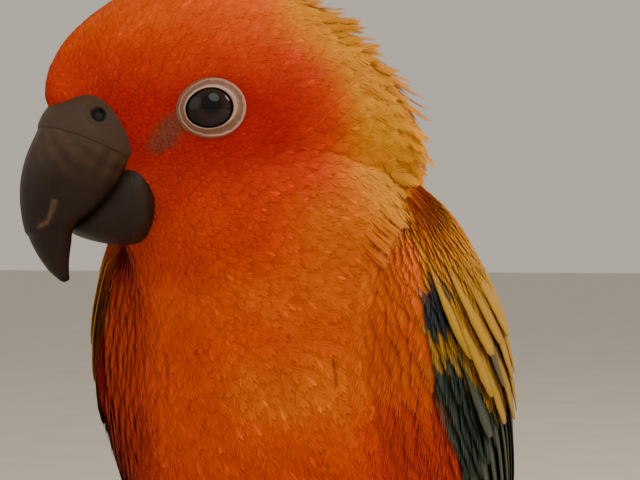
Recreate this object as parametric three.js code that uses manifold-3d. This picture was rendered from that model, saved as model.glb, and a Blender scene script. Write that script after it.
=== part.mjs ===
// A sun conure, a small long-tailed parrot, life size. It stands with its head turned to its right.
// Millimetres, +Z up. The bird faces -Y, its left is +X, and its toes and tail tip rest on the plane z = 0.
import * as THREE from "three";
import { mergeVertices } from "three/addons/utils/BufferGeometryUtils.js";
import Module from "manifold-3d";

const wasm = await Module();
wasm.setup();

// Driving sizes
const EYE_HEIGHT = 138; // floor to the middle of the eyes
const HEAD_AHEAD = 21.7; // midpoint of the eyes in front of the body's own axis
const HEAD_ASIDE = 13.2; // and to the bird's right of it
const HEAD_TURN = THREE.MathUtils.degToRad(50); // towards the bird's right
const HEAD_NOD = THREE.MathUtils.degToRad(20); // bill down
const EYE_RADIUS = 4.3;
const EYE_SUNK = 3.05; // eyeball's middle behind the skin round it
const OPENING = 2.75; // radius between the eyelids
const RING_RADIUS = 4.45; // bare skin round the eye, measured upright
const RING_OVAL = 1.19; // its length over its height
const FOOT_APART = 14; // middle plane to the middle of each foot
const FOOT_AHEAD = 8; // middle of each foot behind the body's axis
const GAP = 0.3; // between touching solids
const FLIGHT_THICK = 0.62; // flight and tail feathers
const COVERT_THICK = 0.56;
const HALF = 0.5;

// Finishes
const finish = (color, roughness) => new THREE.MeshStandardMaterial({ color, roughness, metalness: 0 });
const ORANGE_DOWN = finish("#e8720c", 0.8);
const FACE_ORANGE = finish("#d8450f", 0.8);
const WING_YELLOW = finish("#c99a1a", 0.7);
const TAIL_OLIVE = finish("#5c6b2a", 0.7);
const BILL_HORN = finish("#2b2522", 0.45);
const BARE_SKIN = finish("#a59c98", 0.75);
const EYE_DARK = finish("#150d09", 0.08);
const FOOT_SKIN = finish("#5e5450", 0.7);
const CLAW_HORN = finish("#1d1a18", 0.4);

// The same draws every time
function seeded(seed) {
  let state = seed;
  return () => {
    state = (state * 1664525 + 1013904223) % 4294967296;
    return state / 4294967296 - HALF;
  };
}

const point = (x, y, z) => new THREE.Vector3(x, y, z);
const mix = THREE.MathUtils.lerp;

// Every field of a list of stations, on one smooth curve through them, for t from 0 to 1
function along(stations, t) {
  const span = THREE.MathUtils.clamp(t, 0, 1) * (stations.length - 1);
  const i = Math.min(Math.floor(span), stations.length - 2);
  const k = span - i;
  const before = stations[Math.max(i - 1, 0)];
  const after = stations[Math.min(i + 2, stations.length - 1)];
  const made = {};
  for (const field of Object.keys(stations[0])) {
    const p1 = stations[i][field];
    const p2 = stations[i + 1][field];
    const m1 = (p2 - before[field]) * HALF;
    const m2 = (after[field] - p1) * HALF;
    made[field] =
      (2 * k ** 3 - 3 * k ** 2 + 1) * p1 +
      (k ** 3 - 2 * k ** 2 + k) * m1 +
      (3 * k ** 2 - 2 * k ** 3) * p2 +
      (k ** 3 - k ** 2) * m2;
  }
  return made;
}

function middleOf(ring) {
  return ring.reduce((sum, p) => sum.add(p), point(0, 0, 0)).divideScalar(ring.length);
}

// A closed skin over rings of points, with a fan over each end.
// A flat body's rings name their first underside point: its two faces are split alike, its ends in strips.
function loft(rings, underside = 0) {
  const around = rings[0].length;
  const positions = rings.flat().flatMap((p) => p.toArray());
  const last = (rings.length - 1) * around;
  const index = [];
  for (let i = 0; i + 1 < rings.length; i++)
    for (let j = 0; j < around; j++) {
      const a = i * around + j;
      const b = i * around + ((j + 1) % around);
      const [c, d] = [b + around, a + around];
      if (!underside || j < underside) index.push(a, b, c, a, c, d);
      else index.push(a, b, d, b, c, d);
    }
  if (underside)
    for (let j = 0; j + 1 < underside; j++) {
      const across = around - 1 - j;
      index.push(j + 1, j, across, j + 1, across, across - 1);
      index.push(last + j, last + j + 1, last + across, last + j + 1, last + across - 1, last + across);
    }
  else {
    const fan = positions.length / 3;
    positions.push(...middleOf(rings[0]).toArray(), ...middleOf(rings[rings.length - 1]).toArray());
    for (let j = 0; j < around; j++) {
      const next = (j + 1) % around;
      index.push(fan, next, j, fan + 1, last + j, last + next);
    }
  }
  const made = new THREE.BufferGeometry();
  made.setAttribute("position", new THREE.Float32BufferAttribute(positions, 3));
  made.setIndex(index);
  return made;
}

// Six times the volume inside, below zero where the faces look inward
function turned(geometry) {
  const p = geometry.getAttribute("position");
  const index = geometry.index.array;
  const at = (i) => point(p.getX(i), p.getY(i), p.getZ(i));
  let sum = 0;
  for (let i = 0; i < index.length; i += 3)
    sum += at(index[i]).dot(at(index[i + 1]).cross(at(index[i + 2])));
  return sum;
}

function solid(geometry) {
  const bare = geometry.clone();
  for (const name of ["normal", "uv"]) bare.deleteAttribute(name);
  const merged = mergeVertices(bare, 1e-4);
  const triVerts = new Uint32Array(merged.index.array);
  if (turned(merged) < 0) triVerts.reverse();
  const vertProperties = new Float32Array(merged.attributes.position.array);
  return new wasm.Manifold(new wasm.Mesh({ numProp: 3, vertProperties, triVerts }));
}

const join = (pieces) => pieces.reduce((whole, piece) => whole.add(piece));
const cut = (whole, ...tools) => tools.reduce((left, tool) => left.subtract(tool), whole);

// Its largest closed surface alone
function largest(whole) {
  const parts = whole.decompose();
  return parts.reduce((best, part) => (part.volume() > best.volume() ? part : best));
}

// A joined mesh on a fine grid, so that corners nearer than its step are one and hair-thin faces go
const GRID = 1 / 256;
const onGrid = (size) => Math.round(size / GRID) * GRID;
function gridded(mesh) {
  const positions = [];
  const places = new Map();
  const corners = [];
  for (let i = 0; i < mesh.vertProperties.length; i += 3) {
    const at = [...mesh.vertProperties.slice(i, i + 3)].map(onGrid);
    const key = at.join();
    if (!places.has(key)) {
      places.set(key, positions.length / 3);
      positions.push(...at);
    }
    corners.push(places.get(key));
  }
  const faces = new Map();
  for (let i = 0; i < mesh.triVerts.length; i += 3) {
    const face = [...mesh.triVerts.slice(i, i + 3)].map((corner) => corners[corner]);
    const key = [...face].sort((a, b) => a - b).join();
    if (new Set(face).size < 3) continue;
    if (faces.has(key)) faces.delete(key);
    else faces.set(key, face);
  }
  return { positions, index: [...faces.values()].flat() };
}

function node(name, whole, material) {
  const { positions, index } = gridded(largest(whole).getMesh());
  const geometry = new THREE.BufferGeometry();
  geometry.setAttribute("position", new THREE.Float32BufferAttribute(positions, 3));
  geometry.setIndex(index);
  geometry.computeVertexNormals();
  const mesh = new THREE.Mesh(geometry, material);
  mesh.name = name;
  return mesh;
}

const ROOM = 400; // side of the blocks that part the body
function block(x, y, z, facing = new THREE.Quaternion()) {
  const geometry = new THREE.BoxGeometry(ROOM, ROOM, ROOM);
  geometry.applyQuaternion(facing);
  return solid(geometry.translate(x, y, z));
}
const BELOW_FLOOR = block(0, 0, -ROOM / 2);

// Moves a grown body's end out by as much as its sides
function pushEnd(end, inner, grow) {
  const out = middleOf(end).sub(middleOf(inner)).setLength(grow);
  end.forEach((p) => p.add(out));
}

// A closed tube through stations; place gives the point at an angle round a station
function ovals(stations, count, around, place, grow = 0) {
  const rings = [];
  for (let i = 0; i <= count; i++) {
    const s = along(stations, i / count);
    const ring = [];
    for (let j = 0; j < around; j++) ring.push(place(s, (j / around) * 2 * Math.PI, grow, i / count));
    rings.push(ring);
  }
  pushEnd(rings[0], rings[1], grow);
  pushEnd(rings[count], rings[count - 1], grow);
  return solid(loft(rings));
}

// Trunk: stations down the body's own line, each with its half width, and its depth to breast and to back
const TRUNK = [
  { x: -5, y: -16.5, z: 134, wide: 18.3, breast: 14, back: 17 },
  { x: -1.5, y: -14.5, z: 125.5, wide: 22.3, breast: 18.5, back: 21 },
  { x: 0, y: -11, z: 117, wide: 23.5, breast: 19.5, back: 22 },
  { x: 0, y: -6.5, z: 107.5, wide: 25.5, breast: 22.5, back: 22.5 },
  { x: 0, y: -1, z: 95.5, wide: 27.5, breast: 25, back: 23.5 },
  { x: 0, y: 7.5, z: 82, wide: 28, breast: 26, back: 24 },
  { x: 0, y: 18.5, z: 68.5, wide: 26.5, breast: 24.5, back: 22 },
  { x: 0, y: 31.5, z: 56, wide: 22.5, breast: 20, back: 18 },
  { x: 0, y: 45, z: 46, wide: 16.5, breast: 14, back: 13 },
  { x: 0, y: 57, z: 39, wide: 11, breast: 8.5, back: 8 },
  { x: 0, y: 65, z: 35.5, wide: 7, breast: 4.5, back: 5 },
];
const TRUNK_STEPS = 20;
const TRUNK_AROUND = 22;

function trunkPoint(s, angle, grow, t) {
  const step = 0.01;
  const [a, b] = [along(TRUNK, t - step), along(TRUNK, t + step)];
  const run = point(0, b.y - a.y, b.z - a.z).normalize();
  const deep = (Math.cos(angle) > 0 ? s.breast : s.back) + grow;
  const out = Math.cos(angle) * deep;
  return point(s.x + Math.sin(angle) * (s.wide + grow), s.y + run.z * out, s.z - run.y * out);
}
const trunk = (grow) => ovals(TRUNK, TRUNK_STEPS, TRUNK_AROUND, trunkPoint, grow);

// Head: its own frame has x forward along the bill, y to the bird's left and z up, from between the eyes
const HEAD_FRAME = new THREE.Matrix4()
  .makeTranslation(-HEAD_ASIDE, -HEAD_AHEAD, EYE_HEIGHT)
  .multiply(new THREE.Matrix4().makeRotationZ(-Math.PI / 2 - HEAD_TURN))
  .multiply(new THREE.Matrix4().makeRotationY(HEAD_NOD));
const headPoint = (ahead, left, up) => point(ahead, left, up).applyMatrix4(HEAD_FRAME);

const SKULL = [
  { ahead: -34.5, top: -9, low: -19, wide: 6 },
  { ahead: -32.5, top: -1.5, low: -23.5, wide: 11.5 },
  { ahead: -28, top: 6.5, low: -26, wide: 15.5 },
  { ahead: -21, top: 13.5, low: -26, wide: 18.3 },
  { ahead: -13.5, top: 18, low: -24, wide: 18.8 },
  { ahead: -5.5, top: 19.8, low: -21.5, wide: 18.2 },
  { ahead: 1.5, top: 19.2, low: -20, wide: 16.4 },
  { ahead: 7.5, top: 17.4, low: -19, wide: 10.4 },
  { ahead: 12.2, top: 15.2, low: -16.3, wide: 6.2 },
  { ahead: 15.6, top: 12.2, low: -7, wide: 5 },
  { ahead: 17.4, top: 8.9, low: -0.5, wide: 3 },
];
const SKULL_STEPS = 16;
const SKULL_AROUND = 22;
const CHEEK_LOW = 0.05; // how much wider the cheeks are below their middle
const CHIN_NARROW = 0.35; // and how much narrower the face is there beside the bill
const fuller = (ahead) => mix(-CHEEK_LOW, CHIN_NARROW, THREE.MathUtils.smoothstep(ahead, 2, 10));

function skullPoint(s, angle, grow) {
  const tall = (s.top - s.low) / 2 + grow;
  const up = Math.cos(angle);
  const side = Math.sin(angle) * (s.wide + grow) * (1 + fuller(s.ahead) * up);
  return headPoint(s.ahead, side, (s.top + s.low) / 2 + up * tall);
}
const skull = (grow) => ovals(SKULL, SKULL_STEPS, SKULL_AROUND, skullPoint, grow);

// Bill: each station has a point on the outer line, one on the inner line, and a half width
const UPPER_BILL = [
  { outAhead: 11, outUp: 8.4, inAhead: 4.5, inUp: -4.2, wide: 6.6 },
  { outAhead: 16.9, outUp: 6.4, inAhead: 7.6, inUp: -4.7, wide: 7.3 },
  { outAhead: 20.8, outUp: 3.1, inAhead: 10, inUp: -5.2, wide: 7.3 },
  { outAhead: 23.4, outUp: 0.2, inAhead: 12.2, inUp: -7.1, wide: 6.9 },
  { outAhead: 25.2, outUp: -2.9, inAhead: 14.4, inUp: -8.7, wide: 6.1 },
  { outAhead: 26.3, outUp: -6.2, inAhead: 17.1, inUp: -9.9, wide: 5.1 },
  { outAhead: 26.8, outUp: -9.5, inAhead: 20.2, inUp: -10.8, wide: 3.9 },
  { outAhead: 26.6, outUp: -12.6, inAhead: 21.5, inUp: -13.2, wide: 2.9 },
  { outAhead: 25.9, outUp: -15.3, inAhead: 22.4, inUp: -15.2, wide: 2 },
  { outAhead: 24.9, outUp: -17, inAhead: 22.9, inUp: -16.8, wide: 1.2 },
  { outAhead: 23.9, outUp: -18.1, inAhead: 23.2, inUp: -18, wide: 0.4 },
];
const LOWER_BILL = [
  { outAhead: 7, outUp: -16, inAhead: 5, inUp: -4.2, wide: 6.3 },
  { outAhead: 11.2, outUp: -16.6, inAhead: 8.2, inUp: -3.8, wide: 6.9 },
  { outAhead: 14.2, outUp: -15.9, inAhead: 11.4, inUp: -4.8, wide: 6.7 },
  { outAhead: 17, outUp: -14.4, inAhead: 14.8, inUp: -7.6, wide: 5.8 },
  { outAhead: 19.2, outUp: -12.8, inAhead: 17.8, inUp: -9.6, wide: 4.4 },
  { outAhead: 20.6, outUp: -11.3, inAhead: 20, inUp: -10.6, wide: 2.8 },
];
const UPPER_STEPS = 13;
const LOWER_STEPS = 7;
const BILL_AROUND = 14;

// A bill's section is round on its outer side and fuller towards its cutting edges
const EDGE_POWER = 0.42;
const BACK_POWER = 0.95;
function billPoint(s, angle, grow) {
  const half = point((s.outAhead - s.inAhead) / 2, 0, (s.outUp - s.inUp) / 2);
  const reach = half.length();
  const up = Math.cos(angle);
  const power = up < 0 ? EDGE_POWER : BACK_POWER;
  const side = Math.sign(Math.sin(angle)) * Math.abs(Math.sin(angle)) ** power * (s.wide + grow);
  const out = half.multiplyScalar((up * (reach + grow)) / reach);
  return headPoint((s.outAhead + s.inAhead) / 2 + out.x, side, (s.outUp + s.inUp) / 2 + out.z);
}
const upperBill = (grow) => ovals(UPPER_BILL, UPPER_STEPS, BILL_AROUND, billPoint, grow);
const lowerBill = (grow) => ovals(LOWER_BILL, LOWER_STEPS, BILL_AROUND, billPoint, grow);

// Cere: the soft band over the bill's root, with the two nostrils
const CERE_START = 0.03;
const CERE_END = 0.165; // share of the upper bill's length
const CERE_PROUD = 0.75;
const CERE_STEPS = 3;
const NOSTRIL = { ahead: 12.9, left: 6.6, up: 3.6, radius: 1 };

function cere(grow) {
  const rings = [];
  for (let i = 0; i <= CERE_STEPS; i++) {
    const k = i / CERE_STEPS;
    const s = along(UPPER_BILL, mix(CERE_START, CERE_END, k));
    const swell = CERE_PROUD * Math.sqrt(1 - k ** 4) + grow;
    const ring = [];
    for (let j = 0; j < BILL_AROUND; j++) ring.push(billPoint(s, (j / BILL_AROUND) * 2 * Math.PI, swell));
    rings.push(ring);
  }
  pushEnd(rings[0], rings[1], grow);
  pushEnd(rings[CERE_STEPS], rings[CERE_STEPS - 1], grow);
  return solid(loft(rings));
}

function ball(middle, radius, across = 14, up = 9) {
  return solid(new THREE.SphereGeometry(radius, across, up).translate(middle.x, middle.y, middle.z));
}

// Eyes: a ring of bare skin with the raised rim of the lids, laid on the side of the head round a ball
const sides = { left: 1, right: -1 };
const EYE_OUT = point(0.27, 0.95, 0.16).normalize(); // ahead, outward and up
const RING_TILT = THREE.MathUtils.degToRad(17); // long way of the ring, up towards the bill

// Distance of the head's skin from its middle plane
function skinSide(ahead, up) {
  let [low, high] = [0, 1];
  for (let i = 0; i < 20; i++) {
    const middle = (low + high) * HALF;
    if (along(SKULL, middle).ahead < ahead) low = middle;
    else high = middle;
  }
  const s = along(SKULL, low);
  const level = (up - (s.top + s.low) / 2) / ((s.top - s.low) / 2);
  return Math.sqrt(1 - level ** 2) * s.wide * (1 + fuller(ahead) * level);
}

function eyeMiddle(side) {
  const out = EYE_OUT.clone().multiplyScalar(EYE_SUNK);
  return headPoint(-out.x, side * (skinSide(0, 0) - out.y), -out.z);
}

const RING_AROUND = 16;
const RING_PROFILE = [
  [OPENING, -2.2],
  [OPENING, 0.35],
  [OPENING + 0.45, 0.85],
  [OPENING + 0.95, 0.4],
  [RING_RADIUS - 0.3, 0.4],
  [RING_RADIUS, 0.1],
  [RING_RADIUS - 0.5, -2.2],
];
const SOCKET_PROFILE = [
  [0.3, -2.2 - GAP],
  [RING_RADIUS - 0.5 + GAP, -2.2 - GAP],
  [RING_RADIUS + GAP, 0.1],
  [RING_RADIUS + GAP, 2],
  [0.3, 2],
];
function roundEye(side, profile) {
  const closed = [...profile, profile[0]].map(([r, h]) => new THREE.Vector2(r, h));
  const made = new THREE.LatheGeometry(closed, RING_AROUND);
  const p = made.getAttribute("position");
  for (let i = 0; i < p.count; i++) {
    const r = Math.hypot(p.getX(i), p.getZ(i));
    const oval = mix(1, RING_OVAL, THREE.MathUtils.clamp((r - OPENING) / (RING_RADIUS - OPENING), 0, 1));
    const long = p.getX(i) * oval;
    const ahead = long * Math.cos(RING_TILT) - p.getZ(i) * Math.sin(RING_TILT);
    const up = long * Math.sin(RING_TILT) + p.getZ(i) * Math.cos(RING_TILT);
    p.setXYZ(i, ahead, side * (skinSide(ahead, up) + p.getY(i)), up);
  }
  return solid(made.applyMatrix4(HEAD_FRAME));
}

// Wing sheet: its leading edge along the breast and its trailing edge along the back, from shoulder to tip
const LEADING_EDGE = [
  { x: 20, y: -15, z: 124 },
  { x: 23, y: -19.5, z: 112 },
  { x: 25.5, y: -16, z: 97.5 },
  { x: 27, y: -6.5, z: 82.5 },
  { x: 26.5, y: 7, z: 69 },
  { x: 24.5, y: 23, z: 57.5 },
  { x: 21.5, y: 41, z: 49 },
  { x: 18.5, y: 60, z: 42.5 },
  { x: 15, y: 80, z: 37 },
  { x: 10.5, y: 103, z: 31.5 },
];
const TRAILING_EDGE = [
  { x: 11, y: -4, z: 129 },
  { x: 10, y: 8.5, z: 124 },
  { x: 7.5, y: 20, z: 113 },
  { x: 6, y: 30.5, z: 98.5 },
  { x: 5, y: 40.5, z: 83.5 },
  { x: 4, y: 50.5, z: 70.5 },
  { x: 3.5, y: 61, z: 59.5 },
  { x: 3.2, y: 73, z: 50 },
  { x: 3.2, y: 87, z: 42.5 },
  { x: 4, y: 103, z: 35.5 },
];
const WING_SWELL = [6, 12, 16.3, 16.8, 15, 12, 9, 6, 3, 0.8].map((out) => ({ out }));
const CHORD_END = 0.9; // from here to the tip the chord keeps its direction
const EDGE_LEAN = 1.1; // lean of the outward direction between the sheet's edges
const FULL_LEAN_SWELL = 12; // least swell at which it leans in full
const SHEET_STEP = 0.01;

const sheetRaw = (u, v) => {
  const [a, b] = [along(LEADING_EDGE, u), along(TRAILING_EDGE, u)];
  return point(mix(a.x, b.x, v), mix(a.y, b.y, v), mix(a.z, b.z, v));
};

function sheetChord(u) {
  const held = Math.min(u, CHORD_END);
  return sheetRaw(held, 1).sub(sheetRaw(held, 0)).normalize();
}

// Outward across the sheet's chord
function sheetOut(u) {
  const run = sheetRaw(Math.min(u + SHEET_STEP, 1), HALF).sub(sheetRaw(Math.max(u - SHEET_STEP, 0), HALF));
  return run.cross(sheetChord(u)).normalize();
}

function sheetPoint(u, v, lift = 0) {
  const highest = along(WING_SWELL, u).out;
  const lean = EDGE_LEAN * (v - HALF) * Math.min(highest / FULL_LEAN_SWELL, 1);
  const out = sheetOut(u);
  const normal = out.clone().addScaledVector(sheetChord(u), lean).normalize();
  return sheetRaw(u, v).addScaledVector(out, 4 * v * (1 - v) * highest).addScaledVector(normal, lift);
}

// The arm and hand under the coverts: a closed slab along the sheet
const ARM_END = 0.64;
const ARM_STEPS = 8;
const ARM_ACROSS = 5;
const ARM_SUNK = 1.1; // its outer face below the sheet
const ARM_DEEP = { shoulder: 7, end: 3.4 };
const ARM_EDGE = 0.04; // share of the chord left free at each edge
const ARM_THINS = 0.3; // share of the wing's length where it starts to thin
const ARM_ROUND = 0.07; // share of the wing's length that rounds its shoulder
const ARM_BLUNT = 0.03; // keeps the shoulder's end from being a point
const ARM_DROP = 1.4; // that end below the rest
function arm(side) {
  const rings = [];
  for (let i = 0; i <= ARM_STEPS; i++) {
    const u = mix(0, ARM_END, i / ARM_STEPS);
    const deep = mix(ARM_DEEP.shoulder, ARM_DEEP.end, THREE.MathUtils.smoothstep(u, ARM_THINS, ARM_END));
    const round = Math.sqrt(1 - (1 - Math.min(u / ARM_ROUND + ARM_BLUNT, 1)) ** 2);
    const acrossAt = (j, lift) => {
      const v = mix(ARM_EDGE, 1 - ARM_EDGE, j / (ARM_ACROSS - 1));
      const p = sheetPoint(u, HALF + (v - HALF) * round, -ARM_SUNK - lift);
      return point(side * p.x, p.y, p.z);
    };
    const ring = [];
    for (let j = 0; j < ARM_ACROSS; j++) ring.push(acrossAt(j, ARM_DROP * (1 - round)));
    for (let j = ARM_ACROSS - 1; j >= 0; j--) ring.push(acrossAt(j, deep));
    rings.push(ring);
  }
  return solid(loft(rings, ARM_ACROSS));
}

// A feather's blade: a guide gives its middle line and outward direction.
// It is widest at its shoulder, its shaft is raised and its edges droop.
// It rolls so as to lie over the next.
const ROOT_WIDE = 0.45; // width at the root, as a share of the widest
const SHAFT_HIGH = 0.7; // height of the shaft, as a share of the blade's thickness
const ROLL_EARLY = 3; // the roll is whole by a third of the length
const NEAR = 0.02; // share of a curve over which its direction is taken
function vane(guide, blade) {
  const rings = [];
  for (let i = 0; i <= blade.steps; i++) {
    const t = i / blade.steps;
    const at = guide(t);
    const [next, last] = [Math.min(t + NEAR, 1), Math.max(t - NEAR, 0)];
    const ahead = guide(next).middle.sub(guide(last).middle).normalize();
    const across = ahead.clone().cross(at.out).normalize();
    across.applyAxisAngle(ahead, blade.roll * Math.min(ROLL_EARLY * t, 1));
    const rise = across.clone().cross(ahead).normalize();
    const past = Math.max((t - blade.shoulder) / (1 - blade.shoulder), 0);
    const before = Math.sin(Math.min(t / blade.shoulder, 1) * Math.PI * HALF);
    const w = blade.wide * mix(ROOT_WIDE, 1, before) * mix(blade.tip, 1, Math.sqrt(1 - past ** 2));
    const corner = (x, z) => at.middle.clone().addScaledVector(across, x).addScaledVector(rise, z);
    const edge = -blade.droop * w;
    const shaft = blade.thick * SHAFT_HIGH;
    rings.push([
      corner(-w, edge + blade.thick / 2),
      corner(0, shaft),
      corner(w, edge + blade.thick / 2),
      corner(w, edge - blade.thick / 2),
      corner(0, -blade.thick / 2),
      corner(-w, edge - blade.thick / 2),
    ]);
  }
  return solid(loft(rings, 3));
}

// One feather on the wing sheet, from (u0, v0) to (u1, v1), rising from its sunk root to its free tip
function wingVane(side, f) {
  const guide = (t) => {
    const u = mix(f.u0, f.u1, t);
    const v = mix(f.v0, f.v1, t);
    const lift = mix(f.sunk, f.proud, Math.min(t / f.rising, 1) ** f.ease);
    const base = sheetPoint(u, v, lift);
    const out = sheetPoint(u, v, lift + 1).sub(base);
    return {
      middle: point(side * base.x, base.y, base.z),
      out: point(side * out.x, out.y, out.z),
    };
  };
  return vane(guide, { ...f, roll: side * f.roll });
}

// Tiers of the folded wing, from the longest flight feathers up to the small coverts.
// Each pair of values runs from the breast's side of the wing to the back's.
// Roots are at (u0, v0) and tips at (u1, v1), which start sunk and end proud of the sheet.
const FLIGHT = { thick: FLIGHT_THICK, steps: 4, rising: 0.7, ease: 0.8 };
const COVERT = { thick: COVERT_THICK, steps: 3, rising: 1, ease: 0.6, shoulder: 0.6 };
const PRIMARIES = {
  ...FLIGHT, count: 5, shoulder: 0.3, tip: 0.14, roll: 0,
  u0: [0.56, 0.6], v0: [0.2, 0.52], u1: [1, 0.87], v1: [0.24, 0.6],
  wide: [3.4, 4], sunk: [-4.2, -1.7], proud: [-4.6, -1.1],
};
const SECONDARIES = {
  ...FLIGHT, count: 5, shoulder: 0.6, tip: 0.3, roll: 0.26,
  u0: [0.42, 0.42], v0: [0.42, 0.88], u1: [0.82, 0.65], v1: [0.56, 0.9],
  wide: [4.4, 4.8], sunk: [-2, -2], proud: [0.6, 0.9],
};
const OUTER_COVERTS = {
  ...COVERT, count: 3, tip: 0.3, roll: 0.2,
  u0: [0.3, 0.34], v0: [0.1, 0.3], u1: [0.53, 0.58], v1: [0.1, 0.32],
  wide: [3.6, 4], sunk: [-2, -2], proud: [0.3, 0.5],
};
const GREATER_COVERTS = {
  ...COVERT, count: 4, tip: 0.34, roll: 0.14,
  u0: [0.29, 0.3], v0: [0.44, 0.9], u1: [0.54, 0.51], v1: [0.45, 0.92],
  wide: [5.2, 5.6], sunk: [-2, -2], proud: [1.2, 1.4],
};
const MEDIAN_COVERTS = {
  ...COVERT, count: 5, tip: 0.4, roll: 0.12,
  u0: [0.17, 0.18], v0: [0.1, 0.9], u1: [0.36, 0.37], v1: [0.11, 0.92],
  wide: [5, 5.6], sunk: [-2, -2], proud: [1.1, 1.4],
};
const LESSER_COVERTS = {
  ...COVERT, count: 4, tip: 0.42, roll: 0.1,
  u0: [0.05, 0.06], v0: [0.16, 0.86], u1: [0.22, 0.23], v1: [0.14, 0.88],
  wide: [5.4, 6], sunk: [-2, -2], proud: [1, 1.2],
};
const COVERTS = [OUTER_COVERTS, GREATER_COVERTS, MEDIAN_COVERTS, LESSER_COVERTS];
const TIERS = [PRIMARIES, SECONDARIES, ...COVERTS];

function wing(side) {
  const draw = seeded(41);
  const pieces = [arm(side)];
  for (const tier of TIERS)
    for (let i = 0; i < tier.count; i++) {
      const k = i / (tier.count - 1);
      const between = (pair) => mix(pair[0], pair[1], k);
      pieces.push(wingVane(side, {
        ...tier,
        droop: 0.1,
        u0: between(tier.u0),
        u1: between(tier.u1) * (1 + 0.012 * draw()),
        v0: between(tier.v0),
        v1: between(tier.v1) + 0.01 * draw(),
        wide: between(tier.wide),
        sunk: between(tier.sunk),
        proud: between(tier.proud),
      }));
    }
  return join(pieces);
}

// Tail: graduated feathers that leave the rump and come down to lie along the floor
const TAIL_LINE = [
  { y: 57, z: 37.5 },
  { y: 74, z: 32.6 },
  { y: 96, z: 25.4 },
  { y: 120, z: 17.2 },
  { y: 142, z: 10 },
  { y: 164, z: 4.3 },
  { y: 187, z: 1 },
];
const TAIL_PAIRS = 6;
const TAIL_LAYER = 0.84; // each feather lies this much below the one over it
const TAIL_GRADE = [1, 0.93, 0.84, 0.75, 0.66, 0.57]; // length of each pair
const TAIL_WIDE = 4.9; // half width of the middle pair
const TAIL_NARROWER = 0.15; // and how much less each further pair has
const TAIL_COVERT_WIDE = 4.4;
const TAIL_COVERT_LONG = { middle: 0.34, side: 0.24 }; // shares of the tail's line
const TAIL_BLADE = { thick: 0.5, steps: 4, shoulder: 0.4, tip: 0.2, droop: 0.06, roll: 0 };
const TAIL_COVERT = { ...TAIL_BLADE, thick: COVERT_THICK, steps: 3, shoulder: 0.6, tip: 0.3, droop: 0.16 };

const MIDDLE_APART = 1.4; // middle plane to the middle pair
const OUTER_APART = 4.3; // and to the next pair
const PAIR_FAN = { root: 0.5, tip: 2.2 }; // how much further out each pair after that lies
const COVERT_LIFT = { root: 2.8, tip: 1.1 }; // over the tail's line
const COVERT_UNDER = -3; // root of the coverts below it
const COVERT_SPREAD = { root: 4.5, tip: 6.5 };
const COVERT_SIDE_DROP = 0.8;

function tailFrame(s) {
  const at = along(TAIL_LINE, s);
  const next = along(TAIL_LINE, s + 0.02);
  return { at, out: point(0, at.z - next.z, next.y - at.y).normalize() };
}

// The middle pair lie over one another and over the rest, which spread to each side below them
function tailGuide(side, pair) {
  return (t) => {
    const s = t * TAIL_GRADE[pair];
    const { at, out } = tailFrame(s);
    const layer = pair === 0 ? (1 - side) * HALF : pair + 1;
    const fan = (pair - 1) * mix(PAIR_FAN.root, PAIR_FAN.tip, s);
    const spread = side * (pair === 0 ? MIDDLE_APART : OUTER_APART + fan);
    return { middle: point(spread, at.y, at.z).addScaledVector(out, -layer * TAIL_LAYER), out };
  };
}

function covertGuide(over, k, length) {
  return (t) => {
    const { at, out } = tailFrame(0.02 + t * length);
    const under = -(TAIL_PAIRS + 1) * TAIL_LAYER;
    const above = mix(COVERT_LIFT.root, COVERT_LIFT.tip, t);
    const lift = over > 0 ? above : mix(COVERT_UNDER, under, Math.min(2 * t, 1));
    const lower = -COVERT_SIDE_DROP * Math.abs(k) * over;
    const spread = k * mix(COVERT_SPREAD.root, COVERT_SPREAD.tip, t);
    return { middle: point(spread, at.y, at.z).addScaledVector(out, lift + lower), out };
  };
}

function tail() {
  const core = [
    { y: 58, z: 36, wide: 8, deep: 6 },
    { y: 68, z: 32.2, wide: 8.6, deep: 5.2 },
    { y: 78, z: 28.4, wide: 8, deep: 4 },
    { y: 86, z: 25.6, wide: 5.5, deep: 2.4 },
  ];
  const place = (s, angle) => point(Math.sin(angle) * s.wide, s.y, s.z + Math.cos(angle) * s.deep);
  const pieces = [ovals(core, 4, 12, place)];
  for (let pair = 0; pair < TAIL_PAIRS; pair++) {
    const blade = { ...TAIL_BLADE, wide: TAIL_WIDE - TAIL_NARROWER * pair };
    for (const side of [1, -1]) pieces.push(vane(tailGuide(side, pair), blade));
  }
  for (const over of [1, -1])
    for (const k of [-1, 1, 0]) {
      const length = mix(TAIL_COVERT_LONG.middle, TAIL_COVERT_LONG.side, Math.abs(k));
      pieces.push(vane(covertGuide(over, k, length), { ...TAIL_COVERT, wide: TAIL_COVERT_WIDE }));
    }
  return join(pieces);
}

// Legs: a feathered thigh, a bare shank, and toes two forward and two back
function tube(stations, count, around) {
  const whole = point(0, 0, 0);
  for (const axis of ["x", "y", "z"]) whole[axis] = stations[stations.length - 1][axis] - stations[0][axis];
  const upright = Math.abs(whole.normalize().z) > 0.6;
  const place = (s, angle, grow, t) => {
    const [a, b] = [along(stations, t - 0.02), along(stations, t + 0.02)];
    const run = point(b.x - a.x, b.y - a.y, b.z - a.z).normalize();
    const across = (upright ? point(1, 0, 0) : point(0, 0, 1)).cross(run).normalize();
    const over = run.clone().cross(across);
    return point(s.x, s.y, s.z)
      .addScaledVector(across, Math.cos(angle) * s.r)
      .addScaledVector(over, Math.sin(angle) * s.r);
  };
  return ovals(stations, count, around, place);
}

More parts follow.
